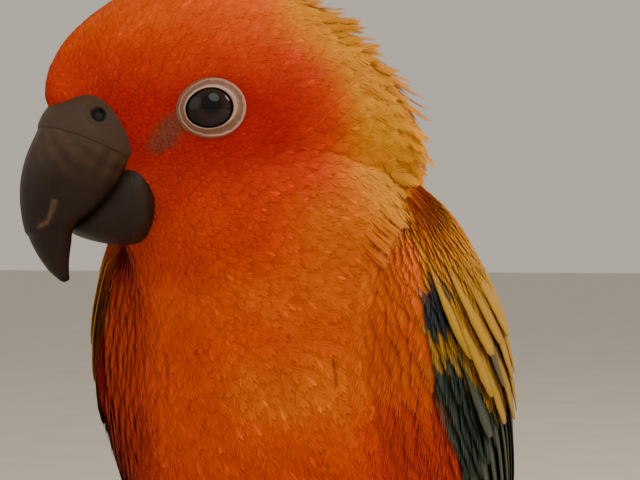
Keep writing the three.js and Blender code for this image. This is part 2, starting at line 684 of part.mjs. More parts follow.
const THIGH = [
  { x: 12, y: 12, z: 57, r: 7 },
  { x: 13, y: 14.5, z: 48, r: 10.5 },
  { x: 14, y: 17.5, z: 39, r: 9.2 },
  { x: 14.4, y: 20.2, z: 31, r: 6.4 },
  { x: 14.5, y: 21.6, z: 26, r: 3.9 },
];
const SHANK = [
  { x: 14.5, y: 21.8, z: 25.6, r: 2.5 },
  { x: 14.6, y: 21, z: 22, r: 2.7 },
  { x: 14.4, y: 16.5, z: 14.5, r: 2.2 },
  { x: 14.1, y: 11.5, z: 7, r: 2.6 },
  { x: 14, y: 9, z: 3.6, r: 3 },
];
// Toes of the left foot: heading from straight ahead, towards the bird's left, and length without the claw
const TOES = [
  { heading: -152, length: 10.5, claw: 6 },
  { heading: -24, length: 13.5, claw: 6.6 },
  { heading: 15, length: 19, claw: 7.2 },
  { heading: 150, length: 17.5, claw: 6.6 },
];
const TOE_RADIUS = 2.05;
const TOE_TIP = 1.35;
const TOE_BLUNT = 0.8; // last radius of a toe, as a share of the one before
const TOE_ROOT = 1.6; // foot's middle to the root of each toe
const TOE_HIGH = 0.93; // middle of a toe over the floor, as a share of its radius, so that its pads are flat
const ROOT_RISE = 0.9; // more of it at the root
const TOE_JOINT = 5;
const TOE_STEP = 2.7; // length of each stretch of a toe
const TOE_AROUND = 8;
const PAD_SWELL = 0.22;
const CLAW_STEPS = 5;
const CLAW_AROUND = 6;
const CLAW_IN = 1; // its root inside the toe
const CLAW_BEND = 1.35; // arc of the claw in radians
const CLAW_LOW = 0.42; // its tip's middle over the floor
const CLAW_RADIUS = { root: 1.15, tip: 0.32 };
const CLAW_RISE = { root: 1.75, arch: 1.15, fall: 2.1 };

const heading = (toe, side) => {
  const turn = THREE.MathUtils.degToRad(toe.heading);
  return point(side * Math.sin(turn), -Math.cos(turn), 0);
};
const footMiddle = (side) => point(side * FOOT_APART, FOOT_AHEAD, 0);

function toeStations(toe, side) {
  const ahead = heading(toe, side);
  const stations = [];
  const joints = Math.round(toe.length / TOE_JOINT);
  const count = Math.round(toe.length / TOE_STEP);
  for (let i = 0; i <= count; i++) {
    const t = i / count;
    const pad = 1 + PAD_SWELL * Math.sin(t * joints * Math.PI) ** 2;
    const r = mix(TOE_RADIUS, TOE_TIP, t) * pad * (t === 1 ? TOE_BLUNT : 1);
    const p = footMiddle(side).addScaledVector(ahead, mix(TOE_ROOT, toe.length, t));
    stations.push({ x: p.x, y: p.y, z: r * TOE_HIGH + ROOT_RISE * (1 - t) ** 2, r });
  }
  return stations;
}

function claw(toe, side, grow) {
  const ahead = heading(toe, side);
  const stations = [];
  for (let i = 0; i <= CLAW_STEPS; i++) {
    const t = i / CLAW_STEPS;
    const reach = toe.claw * Math.sin(t * CLAW_BEND) * 0.95;
    const p = footMiddle(side).addScaledVector(ahead, toe.length - CLAW_IN + reach);
    const arch = CLAW_RISE.arch * Math.sin(t * Math.PI * 0.62);
    const rise = CLAW_RISE.root + arch - CLAW_RISE.fall * t ** 2.2;
    const r = mix(CLAW_RADIUS.root, CLAW_RADIUS.tip, t) + grow;
    stations.push({ x: p.x, y: p.y, z: Math.max(rise, CLAW_LOW), r });
  }
  return tube(stations, CLAW_STEPS, CLAW_AROUND);
}

// Putting the bird together
const flesh = join([trunk(0), skull(0)]);
const clearOfBody = join([trunk(GAP), skull(GAP)]);
const headTilt = new THREE.Quaternion().setFromRotationMatrix(HEAD_FRAME);
const THROAT_CUT = -18.6; // in the head's own frame
const NECK_CUT = 110; // height of the neck's foot
const WING_APART = 0.2; // each wing's edge to the middle plane
const throat = (up) => headPoint(0, 0, up);
const underHead = (up) => {
  const middle = throat(up - ROOM / 2);
  return block(middle.x, middle.y, middle.z, headTilt);
};
const overHead = (up) => {
  const middle = throat(up + ROOM / 2);
  return block(middle.x, middle.y, middle.z, headTilt);
};

const billSockets = [upperBill(GAP), lowerBill(GAP), cere(GAP)];
const headParts = [];
const headTools = [...billSockets];
for (const side of Object.values(sides)) {
  headTools.push(roundEye(side, SOCKET_PROFILE), ball(eyeMiddle(side), EYE_RADIUS + GAP));
}
const head = cut(flesh, underHead(THROAT_CUT), ...headTools);
const neck = cut(flesh, overHead(THROAT_CUT - GAP), block(0, 0, NECK_CUT - ROOM / 2), ...billSockets);
const torso = cut(flesh, overHead(THROAT_CUT - GAP), block(0, 0, NECK_CUT - GAP + ROOM / 2));

headParts.push(node("head", head, FACE_ORANGE));
headParts.push(node("neck", neck, ORANGE_DOWN));
const nostrils = Object.values(sides).map((side) =>
  ball(headPoint(NOSTRIL.ahead, side * NOSTRIL.left, NOSTRIL.up), NOSTRIL.radius, 8, 5));
headParts.push(node("cere", cut(cere(0), upperBill(GAP), ...nostrils), BARE_SKIN));
headParts.push(node("upper_mandible", upperBill(0), BILL_HORN));
headParts.push(node("lower_mandible", cut(lowerBill(0), upperBill(GAP), cere(GAP)), BILL_HORN));
for (const [name, side] of Object.entries(sides)) {
  const eye = ball(eyeMiddle(side), EYE_RADIUS);
  headParts.push(node("eye_" + name, eye, EYE_DARK));
  const ring = cut(roundEye(side, RING_PROFILE), ball(eyeMiddle(side), EYE_RADIUS + GAP));
  headParts.push(node("eye_ring_" + name, ring, BARE_SKIN));
}

const bodyParts = [node("torso", torso, ORANGE_DOWN)];
for (const [name, side] of Object.entries(sides)) {
  const halfRoom = block(side * (WING_APART - ROOM / 2), 0, 0);
  bodyParts.push(node("wing_" + name, cut(wing(side), clearOfBody, halfRoom), WING_YELLOW));
}
bodyParts.push(node("tail", cut(tail(), clearOfBody, BELOW_FLOOR), TAIL_OLIVE));

const legParts = [];
const mirrored = (stations, side) => stations.map((s) => ({ ...s, x: side * s.x }));
for (const [name, side] of Object.entries(sides)) {
  const shank = tube(mirrored(SHANK, side), 8, 10);
  const shankRoom = tube(mirrored(SHANK, side).map((s) => ({ ...s, r: s.r + GAP })), 8, 10);
  const thigh = tube(mirrored(THIGH, side), 8, 12);
  legParts.push(node("thigh_" + name, cut(thigh, clearOfBody, shankRoom), ORANGE_DOWN));
  legParts.push(node("shank_" + name, cut(shank, BELOW_FLOOR), FOOT_SKIN));
  let clear = shankRoom;
  TOES.forEach((toe, i) => {
    const stations = toeStations(toe, side);
    const made = tube(stations, stations.length - 1, TOE_AROUND);
    const label = name + "_" + (i + 1);
    legParts.push(node("toe_" + label, cut(made, clear, BELOW_FLOOR, claw(toe, side, GAP)), FOOT_SKIN));
    legParts.push(node("claw_" + label, cut(claw(toe, side, 0), BELOW_FLOOR), CLAW_HORN));
    const room = stations.map((s) => ({ ...s, r: s.r + GAP }));
    clear = join([clear, tube(room, room.length - 1, TOE_AROUND)]);
  });
}

const bird = new THREE.Group();
bird.name = "sun_conure";
bird.add(...headParts, ...bodyParts, ...legParts);

// The origin goes under the middle of the bird's own box
const reach = new THREE.Box3().setFromObject(bird);
const middle = reach.getCenter(point(0, 0, 0));
bird.position.set(-onGrid(middle.x), -onGrid(middle.y), -onGrid(reach.min.z));

export default bird;
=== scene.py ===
"""A sun conure, a small long-tailed parrot, life size, standing with its head turned to its right.

Lengths are millimetres in the frame of the part's source until a mesh is made.
The bird faces -Y, and its left is +X.
"""
import math

import bpy
import numpy as np
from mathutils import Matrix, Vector, kdtree
from mathutils.bvhtree import BVHTree


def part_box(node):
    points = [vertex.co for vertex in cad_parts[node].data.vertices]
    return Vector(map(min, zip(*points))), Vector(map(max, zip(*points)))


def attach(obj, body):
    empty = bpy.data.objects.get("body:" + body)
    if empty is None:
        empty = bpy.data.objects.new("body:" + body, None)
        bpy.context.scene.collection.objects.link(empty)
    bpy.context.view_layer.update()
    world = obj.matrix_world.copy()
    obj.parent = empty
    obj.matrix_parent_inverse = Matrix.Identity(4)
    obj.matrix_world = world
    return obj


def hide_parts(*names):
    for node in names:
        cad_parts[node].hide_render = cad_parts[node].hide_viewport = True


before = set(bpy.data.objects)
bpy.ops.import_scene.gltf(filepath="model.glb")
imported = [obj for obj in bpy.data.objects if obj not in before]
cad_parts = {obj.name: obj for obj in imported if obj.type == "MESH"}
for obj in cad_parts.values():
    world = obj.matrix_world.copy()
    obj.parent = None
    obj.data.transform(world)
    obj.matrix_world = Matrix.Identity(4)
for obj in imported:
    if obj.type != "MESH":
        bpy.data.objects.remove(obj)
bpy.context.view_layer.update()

SIDES = {"left": 1, "right": -1}

# Sizes of the solids, which the looks are built round
EYE_HEIGHT = 138
HEAD_AHEAD = 21.7
HEAD_ASIDE = 13.2
HEAD_TURN = math.radians(50)  # towards the bird's right
HEAD_NOD = math.radians(20)  # bill down
EYE_RADIUS = 4.3
EYE_SUNK = 3.05
OPENING = 2.75  # radius between the eyelids
RING_EDGE = 4.15  # half the height of the bare ring, where the feathers begin
RING_LONG = 1.07  # its length over its height
RING_MIDDLE = (-0.35, -0.45)  # ahead and up of the eye's middle
LIDS_MIDDLE = (0.2, -0.25)
LIDS_LONG = 1.08  # the opening's length and height over a round one's
LIDS_HIGH = 0.93
RING_TILT = math.radians(17)
EYE_OUT = np.array([0.27, 0.95, 0.16])
CHEEK_LOW = 0.05
CHIN_NARROW = 0.35
NOSTRIL = {"ahead": 12.9, "left": 6.6, "up": 3.6, "radius": 1.0}
FOOT_APART = 14
FOOT_AHEAD = 8

# Trunk: x, y, z, half width, depth to the breast, depth to the back
TRUNK = np.array([
    (-5, -16.5, 134, 18.3, 14, 17), (-1.5, -14.5, 125.5, 22.3, 18.5, 21), (0, -11, 117, 23.5, 19.5, 22),
    (0, -6.5, 107.5, 25.5, 22.5, 22.5), (0, -1, 95.5, 27.5, 25, 23.5), (0, 7.5, 82, 28, 26, 24),
    (0, 18.5, 68.5, 26.5, 24.5, 22), (0, 31.5, 56, 22.5, 20, 18), (0, 45, 46, 16.5, 14, 13),
    (0, 57, 39, 11, 8.5, 8), (0, 65, 35.5, 7, 4.5, 5),
])
# Skull, in the head's own frame: ahead, top, low, half width
SKULL = np.array([
    (-34.5, -9, -19, 6), (-32.5, -1.5, -23.5, 11.5), (-28, 6.5, -26, 15.5), (-21, 13.5, -26, 18.3),
    (-13.5, 18, -24, 18.8), (-5.5, 19.8, -21.5, 18.2), (1.5, 19.2, -20, 16.4), (7.5, 17.4, -19, 10.4),
    (12.2, 15.2, -16.3, 6.2), (15.6, 12.2, -7, 5), (17.4, 8.9, -0.5, 3),
])
# Bill: ahead and up of the outer line, ahead and up of the inner line, half width
UPPER_BILL = np.array([
    (11, 8.4, 4.5, -4.2, 6.6), (16.9, 6.4, 7.6, -4.7, 7.3), (20.8, 3.1, 10, -5.2, 7.3),
    (23.4, 0.2, 12.2, -7.1, 6.9), (25.2, -2.9, 14.4, -8.7, 6.1), (26.3, -6.2, 17.1, -9.9, 5.1),
    (26.8, -9.5, 20.2, -10.8, 3.9), (26.6, -12.6, 21.5, -13.2, 2.9), (25.9, -15.3, 22.4, -15.2, 2),
    (24.9, -17, 22.9, -16.8, 1.2), (23.9, -18.1, 23.2, -18, 0.4),
])
LOWER_BILL = np.array([
    (7, -16, 5, -4.2, 4.6), (11.2, -16.6, 8.2, -3.8, 6.9), (14.2, -15.9, 11.4, -4.8, 6.7),
    (17, -14.4, 14.8, -7.6, 5.8), (19.2, -12.8, 17.8, -9.6, 4.4), (20.6, -11.3, 20, -10.6, 2.8),
])
EDGE_POWER = 0.42
BACK_POWER = 0.95
CERE_START = 0.03
CERE_END = 0.165
CERE_SOFT = 0.5  # how far its skin stands over the horn
LEADING_EDGE = np.array([
    (20, -15, 124), (23, -19.5, 112), (25.5, -16, 97.5), (27, -6.5, 82.5), (26.5, 7, 69), (24.5, 23, 57.5),
    (21.5, 41, 49), (18.5, 60, 42.5), (15, 80, 37), (10.5, 103, 31.5),
])
TRAILING_EDGE = np.array([
    (11, -4, 129), (10, 8.5, 124), (7.5, 20, 113), (6, 30.5, 98.5), (5, 40.5, 83.5), (4, 50.5, 70.5),
    (3.5, 61, 59.5), (3.2, 73, 50), (3.2, 87, 42.5), (4, 103, 35.5),
])
WING_SWELL = np.array([[6], [12], [16.3], [16.8], [15], [12], [9], [6], [3], [0.8]])
TAIL_LINE = np.array([(57, 37.5), (74, 32.6), (96, 25.4), (120, 17.2), (142, 10), (164, 4.3), (187, 1)])
TAIL_LAYER = 0.84
TAIL_GRADE = [1, 0.93, 0.84, 0.75, 0.66, 0.57]
THIGH = np.array([(12, 12, 57, 7), (13, 14.5, 48, 10.5), (14, 17.5, 39, 9.2), (14.4, 20.2, 31, 6.4),
                  (14.5, 21.6, 26, 3.9)])
SHANK = np.array([(14.5, 21.8, 25.6, 2.5), (14.6, 21, 22, 2.7), (14.4, 16.5, 14.5, 2.2),
                  (14.1, 11.5, 7, 2.6), (14, 9, 3.6, 3)])
TOES = [(-152, 10.5, 6), (-24, 13.5, 6.6), (15, 19, 7.2), (150, 17.5, 6.6)]  # heading, length, claw
TOE_RADIUS = 2.05
PAD_SWELL = 0.22


def unit(v):
    return v / np.maximum(np.linalg.norm(v, axis=-1, keepdims=True), 1e-9)


def mix(a, b, k):
    return a + (b - a) * k


def soft(x, low, high):
    """0 below low, 1 above high, smooth between; it falls instead where low is above high."""
    k = np.clip((x - low) / (high - low), 0, 1)
    return k * k * (3 - 2 * k)


def along(rows, t):
    """Rows of stations on the smooth curve through them, for t from 0 to 1."""
    span = np.clip(t, 0, 1) * (len(rows) - 1)
    i = np.minimum(np.floor(span).astype(int), len(rows) - 2)
    k = (span - i)[..., None]
    p1, p2 = rows[i], rows[i + 1]
    m1 = (p2 - rows[np.maximum(i - 1, 0)]) / 2
    m2 = (rows[np.minimum(i + 2, len(rows) - 1)] - p1) / 2
    return ((2 * k**3 - 3 * k**2 + 1) * p1 + (k**3 - 2 * k**2 + k) * m1
            + (3 * k**2 - 2 * k**3) * p2 + (k**3 - k**2) * m2)


# The head's own frame: ahead along the bill, left, and up, from between the eyes
def head_axes():
    turn = -math.pi / 2 - HEAD_TURN
    spin = np.array([[math.cos(turn), -math.sin(turn), 0], [math.sin(turn), math.cos(turn), 0], [0, 0, 1]])
    ahead = spin @ [math.cos(HEAD_NOD), 0, -math.sin(HEAD_NOD)]
    up = spin @ [math.sin(HEAD_NOD), 0, math.cos(HEAD_NOD)]
    return np.array([ahead, spin @ [0, 1, 0], up])


HEAD_AXES = head_axes()
HEAD_MIDDLE = np.array([-HEAD_ASIDE, -HEAD_AHEAD, EYE_HEIGHT])


def from_head(h):
    return HEAD_MIDDLE + np.asarray(h) @ HEAD_AXES


def to_head(p):
    return (p - HEAD_MIDDLE) @ HEAD_AXES.T


SKULL_FINE = along(SKULL, np.linspace(0, 1, 400))


def fuller(ahead):
    """How much wider the head is above its middle; the cheeks are wider below it."""
    return mix(-CHEEK_LOW, CHIN_NARROW, soft(ahead, 2, 10))


def skin_side(ahead, up):
    """Distance of the head's outer surface from its middle plane."""
    top, low, wide = (np.interp(ahead, SKULL_FINE[:, 0], SKULL_FINE[:, i]) for i in (1, 2, 3))
    level = np.clip((up - (top + low) / 2) / ((top - low) / 2), -1, 1)
    return np.sqrt(1 - level**2) * wide * (1 + fuller(ahead) * level)


def eye_middle(side):
    out = unit(EYE_OUT) * EYE_SUNK
    return from_head([-out[0], side * (skin_side(0.0, 0.0) - out[1]), -out[2]])


OFFSET = sum(np.array(corner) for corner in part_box("eye_left")) * 500 - eye_middle(1)
ROOT_BODY = "root"


# Making meshes
def piece(name, points, faces, material, replaces=(), paint=None, maps=None, normals=None):
    """One mesh from millimetre points in the source's frame.

    Maps are named UV maps with a place for each point, and normals the directions that it is shaded by.
    """
    mesh = bpy.data.meshes.new(name)
    points = (points.reshape(-1, 3) + OFFSET) / 1000
    mesh.from_pydata(points.tolist(), [], faces if isinstance(faces, list) else faces.tolist())
    mesh.shade_smooth()
    corners = np.empty(len(mesh.loops), int)
    mesh.loops.foreach_get("vertex_index", corners)
    for title, places in (maps or {}).items():
        layer = mesh.uv_layers.new(name=title, do_init=False)
        layer.uv.foreach_set("vector", places.reshape(-1, 2)[corners].astype(np.float32).ravel())
    if paint is not None:
        layer = mesh.color_attributes.new("Paint", "FLOAT_COLOR", "POINT")
        colours = np.c_[paint.reshape(-1, 3), np.ones(len(points))]
        layer.data.foreach_set("color", colours.astype(np.float32).ravel())
    if normals is not None:
        mesh.normals_split_custom_set_from_vertices(normals.reshape(-1, 3).tolist())
    made = bpy.data.objects.new(name, mesh)
    bpy.context.collection.objects.link(made)
    mesh.materials.append(material)
    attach(made, ROOT_BODY)
    if replaces:
        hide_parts(*replaces)
    return made


def grid_faces(count, rows, cols, closed=False):
    """Quads of count grids of rows by cols points; a closed one joins its last column to its first."""
    r, c = np.mgrid[0:rows - 1, 0:cols if closed else cols - 1]
    r, c = r.ravel(), c.ravel()
    after = (c + 1) % cols
    one = np.stack([r * cols + c, r * cols + after, (r + 1) * cols + after, (r + 1) * cols + c], 1)
    return (one + (np.arange(count) * rows * cols)[:, None, None]).reshape(-1, 4)


def round_grid(rows, cols):
    """Shares of a tube's length and angles round it, as [ring, point]."""
    angles = np.linspace(0, 2 * math.pi, cols, endpoint=False)
    return np.meshgrid(np.linspace(0, 1, rows), angles, indexing="ij")


def capped(rows, cols, start=0):
    """Faces of one closed tube of rings, whose points begin at start."""
    sides = (grid_faces(1, rows, cols, closed=True) + start).tolist()
    first = [start + j for j in range(cols)]
    last = [start + (rows - 1) * cols + j for j in range(cols)]
    return sides + [first[::-1], last]


def linear(code):
    """The linear colour of an sRGB hex code."""
    parts = np.array([int(code[i:i + 2], 16) / 255 for i in (1, 3, 5)])
    return np.where(parts <= 0.04045, parts / 12.92, ((parts + 0.055) / 1.055) ** 2.4)


def rgba(code):
    return (*linear(code), 1)


def add(tree, kind, settings=None, **inputs):
    """Adds a node with its settings. An input's value is a number, a colour, or the output of another node.

    An input's name has _ for a space, and in_0 is the first socket.
    """
    made = tree.nodes.new(kind)
    for key, value in (settings or {}).items():
        setattr(made, key, value)
    for key, value in inputs.items():
        place = int(key[3:]) if key.startswith("in_") else key.replace("_", " ")
        if isinstance(value, bpy.types.NodeSocket):
            tree.links.new(value, made.inputs[place])
        else:
            made.inputs[place].default_value = value
    return made


def new_material(name):
    made = bpy.data.materials.new(name)
    made.use_nodes = True
    made.node_tree.nodes.clear()
    return made, made.node_tree


def finish_material(tree, **inputs):
    shader = add(tree, "ShaderNodeBsdfPrincipled", **inputs)
    add(tree, "ShaderNodeOutputMaterial", Surface=shader.outputs[0])


def shades(stops):
    """Settings of a colour ramp from pairs of place and hex code."""
    return [(place, rgba(code)) for place, code in stops]


def ramp(node, stops):
    """Gives a colour ramp node its stops."""
    ends = node.color_ramp.elements
    while len(ends) < len(stops):
        ends.new(0.5)
    for end, (place, colour) in zip(ends, stops):
        end.position = place
        end.color = colour
    return node.outputs[0]


# A pattern's Scale is how many of it go to a metre, or to a millimetre on the maps Vane, Grain and Iris
TINT = {"data_type": "RGBA", "blend_type": "MULTIPLY"}


def painted(tree, pattern, reach, shades):
    """The piece's own colours, between two shades of them as the pattern goes over its reach."""
    colour = add(tree, "ShaderNodeAttribute", {"attribute_name": "Paint"}).outputs["Color"]
    tone = add(tree, "ShaderNodeMapRange", in_0=pattern, in_1=reach[0], in_2=reach[1], in_3=shades[0],
               in_4=shades[1]).outputs[0]
    return add(tree, "ShaderNodeMix", TINT, in_0=1.0, in_6=colour, in_7=tone).outputs[2]


# Plumage: keratin vanes of fine barbs, matt and soft. The colour comes with each feather as Paint. The map
# named Vane holds the place on the feather in millimetres, so that fine streaks follow its slanting barbs.
BARB_SLANT = 1.3
SHAFT_SHADE = (0.45, 0.4, 0.36)  # how much darker a flight feather's shaft is than its vane


def plumage(name, streak, contrast, bump, roughness, shaft=0.0):
    """Streaks are streak millimetres wide; real barbs, 0.05 wide, are too fine to show."""
    made, tree = new_material(name)
    place = add(tree, "ShaderNodeSeparateXYZ",
                Vector=add(tree, "ShaderNodeUVMap", {"uv_map": "Vane"}).outputs[0])
    out = add(tree, "ShaderNodeMath", {"operation": "ABSOLUTE"}, in_0=place.outputs[0]).outputs[0]
    slanted = add(tree, "ShaderNodeMath", {"operation": "MULTIPLY_ADD"}, in_0=out, in_1=-BARB_SLANT,
                  in_2=place.outputs[1]).outputs[0]
    across = add(tree, "ShaderNodeMath", {"operation": "MULTIPLY"}, in_0=slanted, in_1=1 / streak).outputs[0]
    beside = add(tree, "ShaderNodeMath", {"operation": "MULTIPLY"}, in_0=place.outputs[0],
                 in_1=0.6).outputs[0]
    barbs = add(tree, "ShaderNodeTexNoise", Scale=1.0, Detail=2.0,
                Vector=add(tree, "ShaderNodeCombineXYZ", X=across, Y=beside).outputs[0]).outputs[0]
    toned = painted(tree, barbs, (0.3, 0.7), (1 - contrast, 1 + contrast * 0.5))
    height = barbs
    if shaft:
        rib = add(tree, "ShaderNodeMapRange", {"interpolation_type": "SMOOTHSTEP"}, in_0=out, in_1=shaft,
                  in_2=shaft * 2.2, in_3=1.0, in_4=0.0).outputs[0]
        toned = add(tree, "ShaderNodeMix", TINT, in_0=rib, in_6=toned, in_7=(*SHAFT_SHADE, 1)).outputs[2]
        height = add(tree, "ShaderNodeMath", {"operation": "MULTIPLY_ADD"}, in_0=rib, in_1=2.0,
                     in_2=barbs).outputs[0]
    normal = add(tree, "ShaderNodeBump", Strength=bump, Distance=0.00006, Height=height).outputs[0]
    finish_material(tree, Base_Color=toned, Roughness=roughness, IOR=1.5, Specular_IOR_Level=0.18,
                    Normal=normal)
    return made


FACE_PLUMAGE = plumage("face_plumage", 0.22, 0.16, 0.35, 0.72)
BODY_PLUMAGE = plumage("body_plumage", 0.28, 0.16, 0.4, 0.7)
WING_PLUMAGE = plumage("wing_plumage", 0.3, 0.22, 0.5, 0.58)
FLIGHT_PLUMAGE = plumage("flight_plumage", 0.32, 0.24, 0.6, 0.5, shaft=0.16)


def down_skin():
    """Skin covered by down in tufts of 0.7 mm: matt, and of the colour of the feathers over it."""
    made, tree = new_material("down_skin")
    tufts = add(tree, "ShaderNodeTexNoise", Scale=1400.0, Detail=4.0,
                Vector=add(tree, "ShaderNodeTexCoord").outputs["Object"]).outputs[0]
    toned = painted(tree, tufts, (0.3, 0.7), (0.84, 1.0))
    normal = add(tree, "ShaderNodeBump", Strength=0.5, Distance=0.0003, Height=tufts).outputs[0]
    finish_material(tree, Base_Color=toned, Roughness=0.85, IOR=1.45, Specular_IOR_Level=0.15, Normal=normal)
    return made


DOWN_SKIN = down_skin()


def bill_horn():
    """Keratin of the bill: dark grey-brown, worn to a soft gloss, in flakes of 3 mm and clouds of 2.4 mm."""
    made, tree = new_material("bill_horn")
    place = add(tree, "ShaderNodeTexCoord").outputs["Object"]
    cloud = add(tree, "ShaderNodeTexNoise", Scale=420.0, Detail=5.0, Roughness=0.62, Vector=place).outputs[0]
    toned = painted(tree, cloud, (0.32, 0.7), (0.72, 1.3))
    grain = add(tree, "ShaderNodeTexNoise", Scale=1.0, Detail=3.0,
                Vector=add(tree, "ShaderNodeMapping",
                           Vector=add(tree, "ShaderNodeUVMap", {"uv_map": "Grain"}).outputs[0],
                           Scale=(7.0, 1.1, 1.0)).outputs[0]).outputs[0]
    flakes = add(tree, "ShaderNodeTexVoronoi", {"feature": "DISTANCE_TO_EDGE"}, Scale=330.0,
                 Vector=place).outputs[0]
    flaky = add(tree, "ShaderNodeMapRange", in_0=flakes, in_1=0.0, in_2=0.06, in_3=-0.25,
                in_4=0.0).outputs[0]
    height = add(tree, "ShaderNodeMath", {"operation": "ADD"}, in_0=grain, in_1=flaky).outputs[0]
    normal = add(tree, "ShaderNodeBump", Strength=0.4, Distance=0.00018, Height=height).outputs[0]
    rough = add(tree, "ShaderNodeMapRange", in_0=cloud, in_1=0.3, in_2=0.7, in_3=0.4, in_4=0.56).outputs[0]
    finish_material(tree, Base_Color=toned, Roughness=rough, IOR=1.54, Specular_IOR_Level=0.25,
                    Normal=normal)
    return made


BILL_HORN = bill_horn()


def bare_skin(name, roughness, wrinkle, scale):
    """Bare skin: dry, matt and wrinkled down to 0.4 mm, with a little light passing through."""
    made, tree = new_material(name)
    place = add(tree, "ShaderNodeTexCoord").outputs["Object"]
    cells = add(tree, "ShaderNodeTexVoronoi", {"feature": "DISTANCE_TO_EDGE"}, Scale=scale,
                Vector=place).outputs[0]
    groove = add(tree, "ShaderNodeMapRange", in_0=cells, in_1=0.0, in_2=0.16, in_3=0.0, in_4=1.0).outputs[0]
    toned = painted(tree, groove, (0.0, 1.0), (0.84, 1.03))
    fine = add(tree, "ShaderNodeTexNoise", Scale=2600.0, Detail=2.0, Vector=place).outputs[0]
    height = add(tree, "ShaderNodeMath", {"operation": "MULTIPLY_ADD"}, in_0=fine, in_1=0.4,
                 in_2=groove).outputs[0]
    normal = add(tree, "ShaderNodeBump", Strength=wrinkle, Distance=0.00012, Height=height).outputs[0]
    finish_material(tree, Base_Color=toned, Roughness=roughness, IOR=1.44, Subsurface_Weight=0.12,
                    Subsurface_Radius=(0.8, 0.35, 0.2), Subsurface_Scale=0.001, Normal=normal)
    return made


SOFT_SKIN = bare_skin("soft_skin", 0.58, 0.25, 4300.0)  # folds of 0.23 mm
FOOT_SKIN = bare_skin("foot_skin", 0.6, 0.9, 950.0)  # scales of 1.05 mm


def wet_eye():
    """The eyeball under its wet cornea: a very dark brown iris round a black pupil, and a sharp gloss."""
    made, tree = new_material("wet_eye")
    place = add(tree, "ShaderNodeUVMap", {"uv_map": "Iris"}).outputs[0]
    reach = add(tree, "ShaderNodeVectorMath", {"operation": "LENGTH"}, in_0=place).outputs["Value"]
    spokes = add(tree, "ShaderNodeTexNoise", Scale=3.2, Detail=3.0, Distortion=0.6, Vector=place).outputs[0]
    edge = add(tree, "ShaderNodeMath", {"operation": "MULTIPLY_ADD"}, in_0=spokes, in_1=0.22,
               in_2=reach).outputs[0]
    share = add(tree, "ShaderNodeMapRange", in_0=edge, in_1=0.0, in_2=3.2, in_3=0.0, in_4=1.0).outputs[0]
    colour = ramp(add(tree, "ShaderNodeValToRGB", Fac=share),
                  shades([(0.0, "#050302"), (0.44, "#060403"), (0.5, "#20110a"), (0.72, "#2b180d"),
                          (0.86, "#140b07"), (1.0, "#0a0605")]))
    finish_material(tree, Base_Color=colour, Roughness=0.04, IOR=1.38, Specular_IOR_Level=0.45)
    return made


WET_EYE = wet_eye()


def claw_horn():
    """Keratin of the claws: near black, polished by wear, mottled every 0.45 mm."""
    made, tree = new_material("claw_horn")
    lines = add(tree, "ShaderNodeTexNoise", Scale=2200.0, Detail=3.0,
                Vector=add(tree, "ShaderNodeTexCoord").outputs["Object"]).outputs[0]
    colour = ramp(add(tree, "ShaderNodeValToRGB", Fac=lines), shades([(0.3, "#171310"), (0.7, "#3b322b")]))
    normal = add(tree, "ShaderNodeBump", Strength=0.25, Distance=0.0001, Height=lines).outputs[0]
    finish_material(tree, Base_Color=colour, Roughness=0.36, IOR=1.54, Normal=normal)
    return made


CLAW_HORN = claw_horn()

# Markings of the coat, as the eye sees them in even light
CROWN = linear("#e75500")
FOREHEAD = linear("#e14800")
FACE_RED = linear("#c41900")
CHEEK = linear("#d33000")
THROAT = linear("#d74000")
NAPE = linear("#d58900")
NECK_GOLD = linear("#dc6600")
GOLD_BAND = linear("#e45f00")
BREAST = linear("#da4b00")
BELLY_YELLOW = linear("#e46a00")
FLANK = linear("#cb3800")
MANTLE = linear("#e08b00")
VENT = linear("#cf7d12")
LORE_GREY = linear("#70483a")

TRUNK_FINE = along(TRUNK, np.linspace(0, 1, 240))
TRUNK_RUN = unit(np.gradient(TRUNK_FINE[:, :3], axis=0) * [0, 1, 1])


def trunk_place(p):
    """Share of the trunk's length, its direction, and the place across and towards the breast, at points."""
    near = np.empty(len(p), int)
    for start in range(0, len(p), 20000):
        part = p[start:start + 20000]
        near[start:start + 20000] = ((part[:, None] - TRUNK_FINE[None, :, :3]) ** 2).sum(-1).argmin(1)
    run = TRUNK_RUN[near]
    away = p - TRUNK_FINE[near, :3]
    breastward = np.stack([np.zeros(len(p)), run[:, 2], -run[:, 1]], 1)
    front = (away * breastward).sum(1)
    deep = np.where(front > 0, TRUNK_FINE[near, 4], TRUNK_FINE[near, 5])
    return near / (len(TRUNK_FINE) - 1), run, away[:, 0] / TRUNK_FINE[near, 3], front / deep


def blend(colour, other, share):
    return colour + (other - colour) * share[:, None]


def from_segment(a, u, start, end):
    """Distance in the head's side view from the line between two places."""
    line = np.subtract(end, start)
    k = np.clip(((a - start[0]) * line[0] + (u - start[1]) * line[1]) / (line @ line), 0, 1)
    return np.hypot(a - start[0] - k * line[0], u - start[1] - k * line[1])


def mottle(p):
    """Uneven patches a few feathers wide, some yellower and some redder."""
    x, y, z = p.T
    wide = np.sin(0.41 * x + 1.3 * np.sin(0.23 * z)) * np.sin(0.37 * z + 0.29 * y + 1.1 * np.sin(0.19 * x))
    fine = np.sin(1.07 * x + 0.6 * y) * np.sin(0.93 * z - 0.71 * y + 2)
    shift = 0.07 * wide + 0.04 * fine
    return np.stack([1 + shift, 1 + 2.2 * shift, 1 + shift], 1)


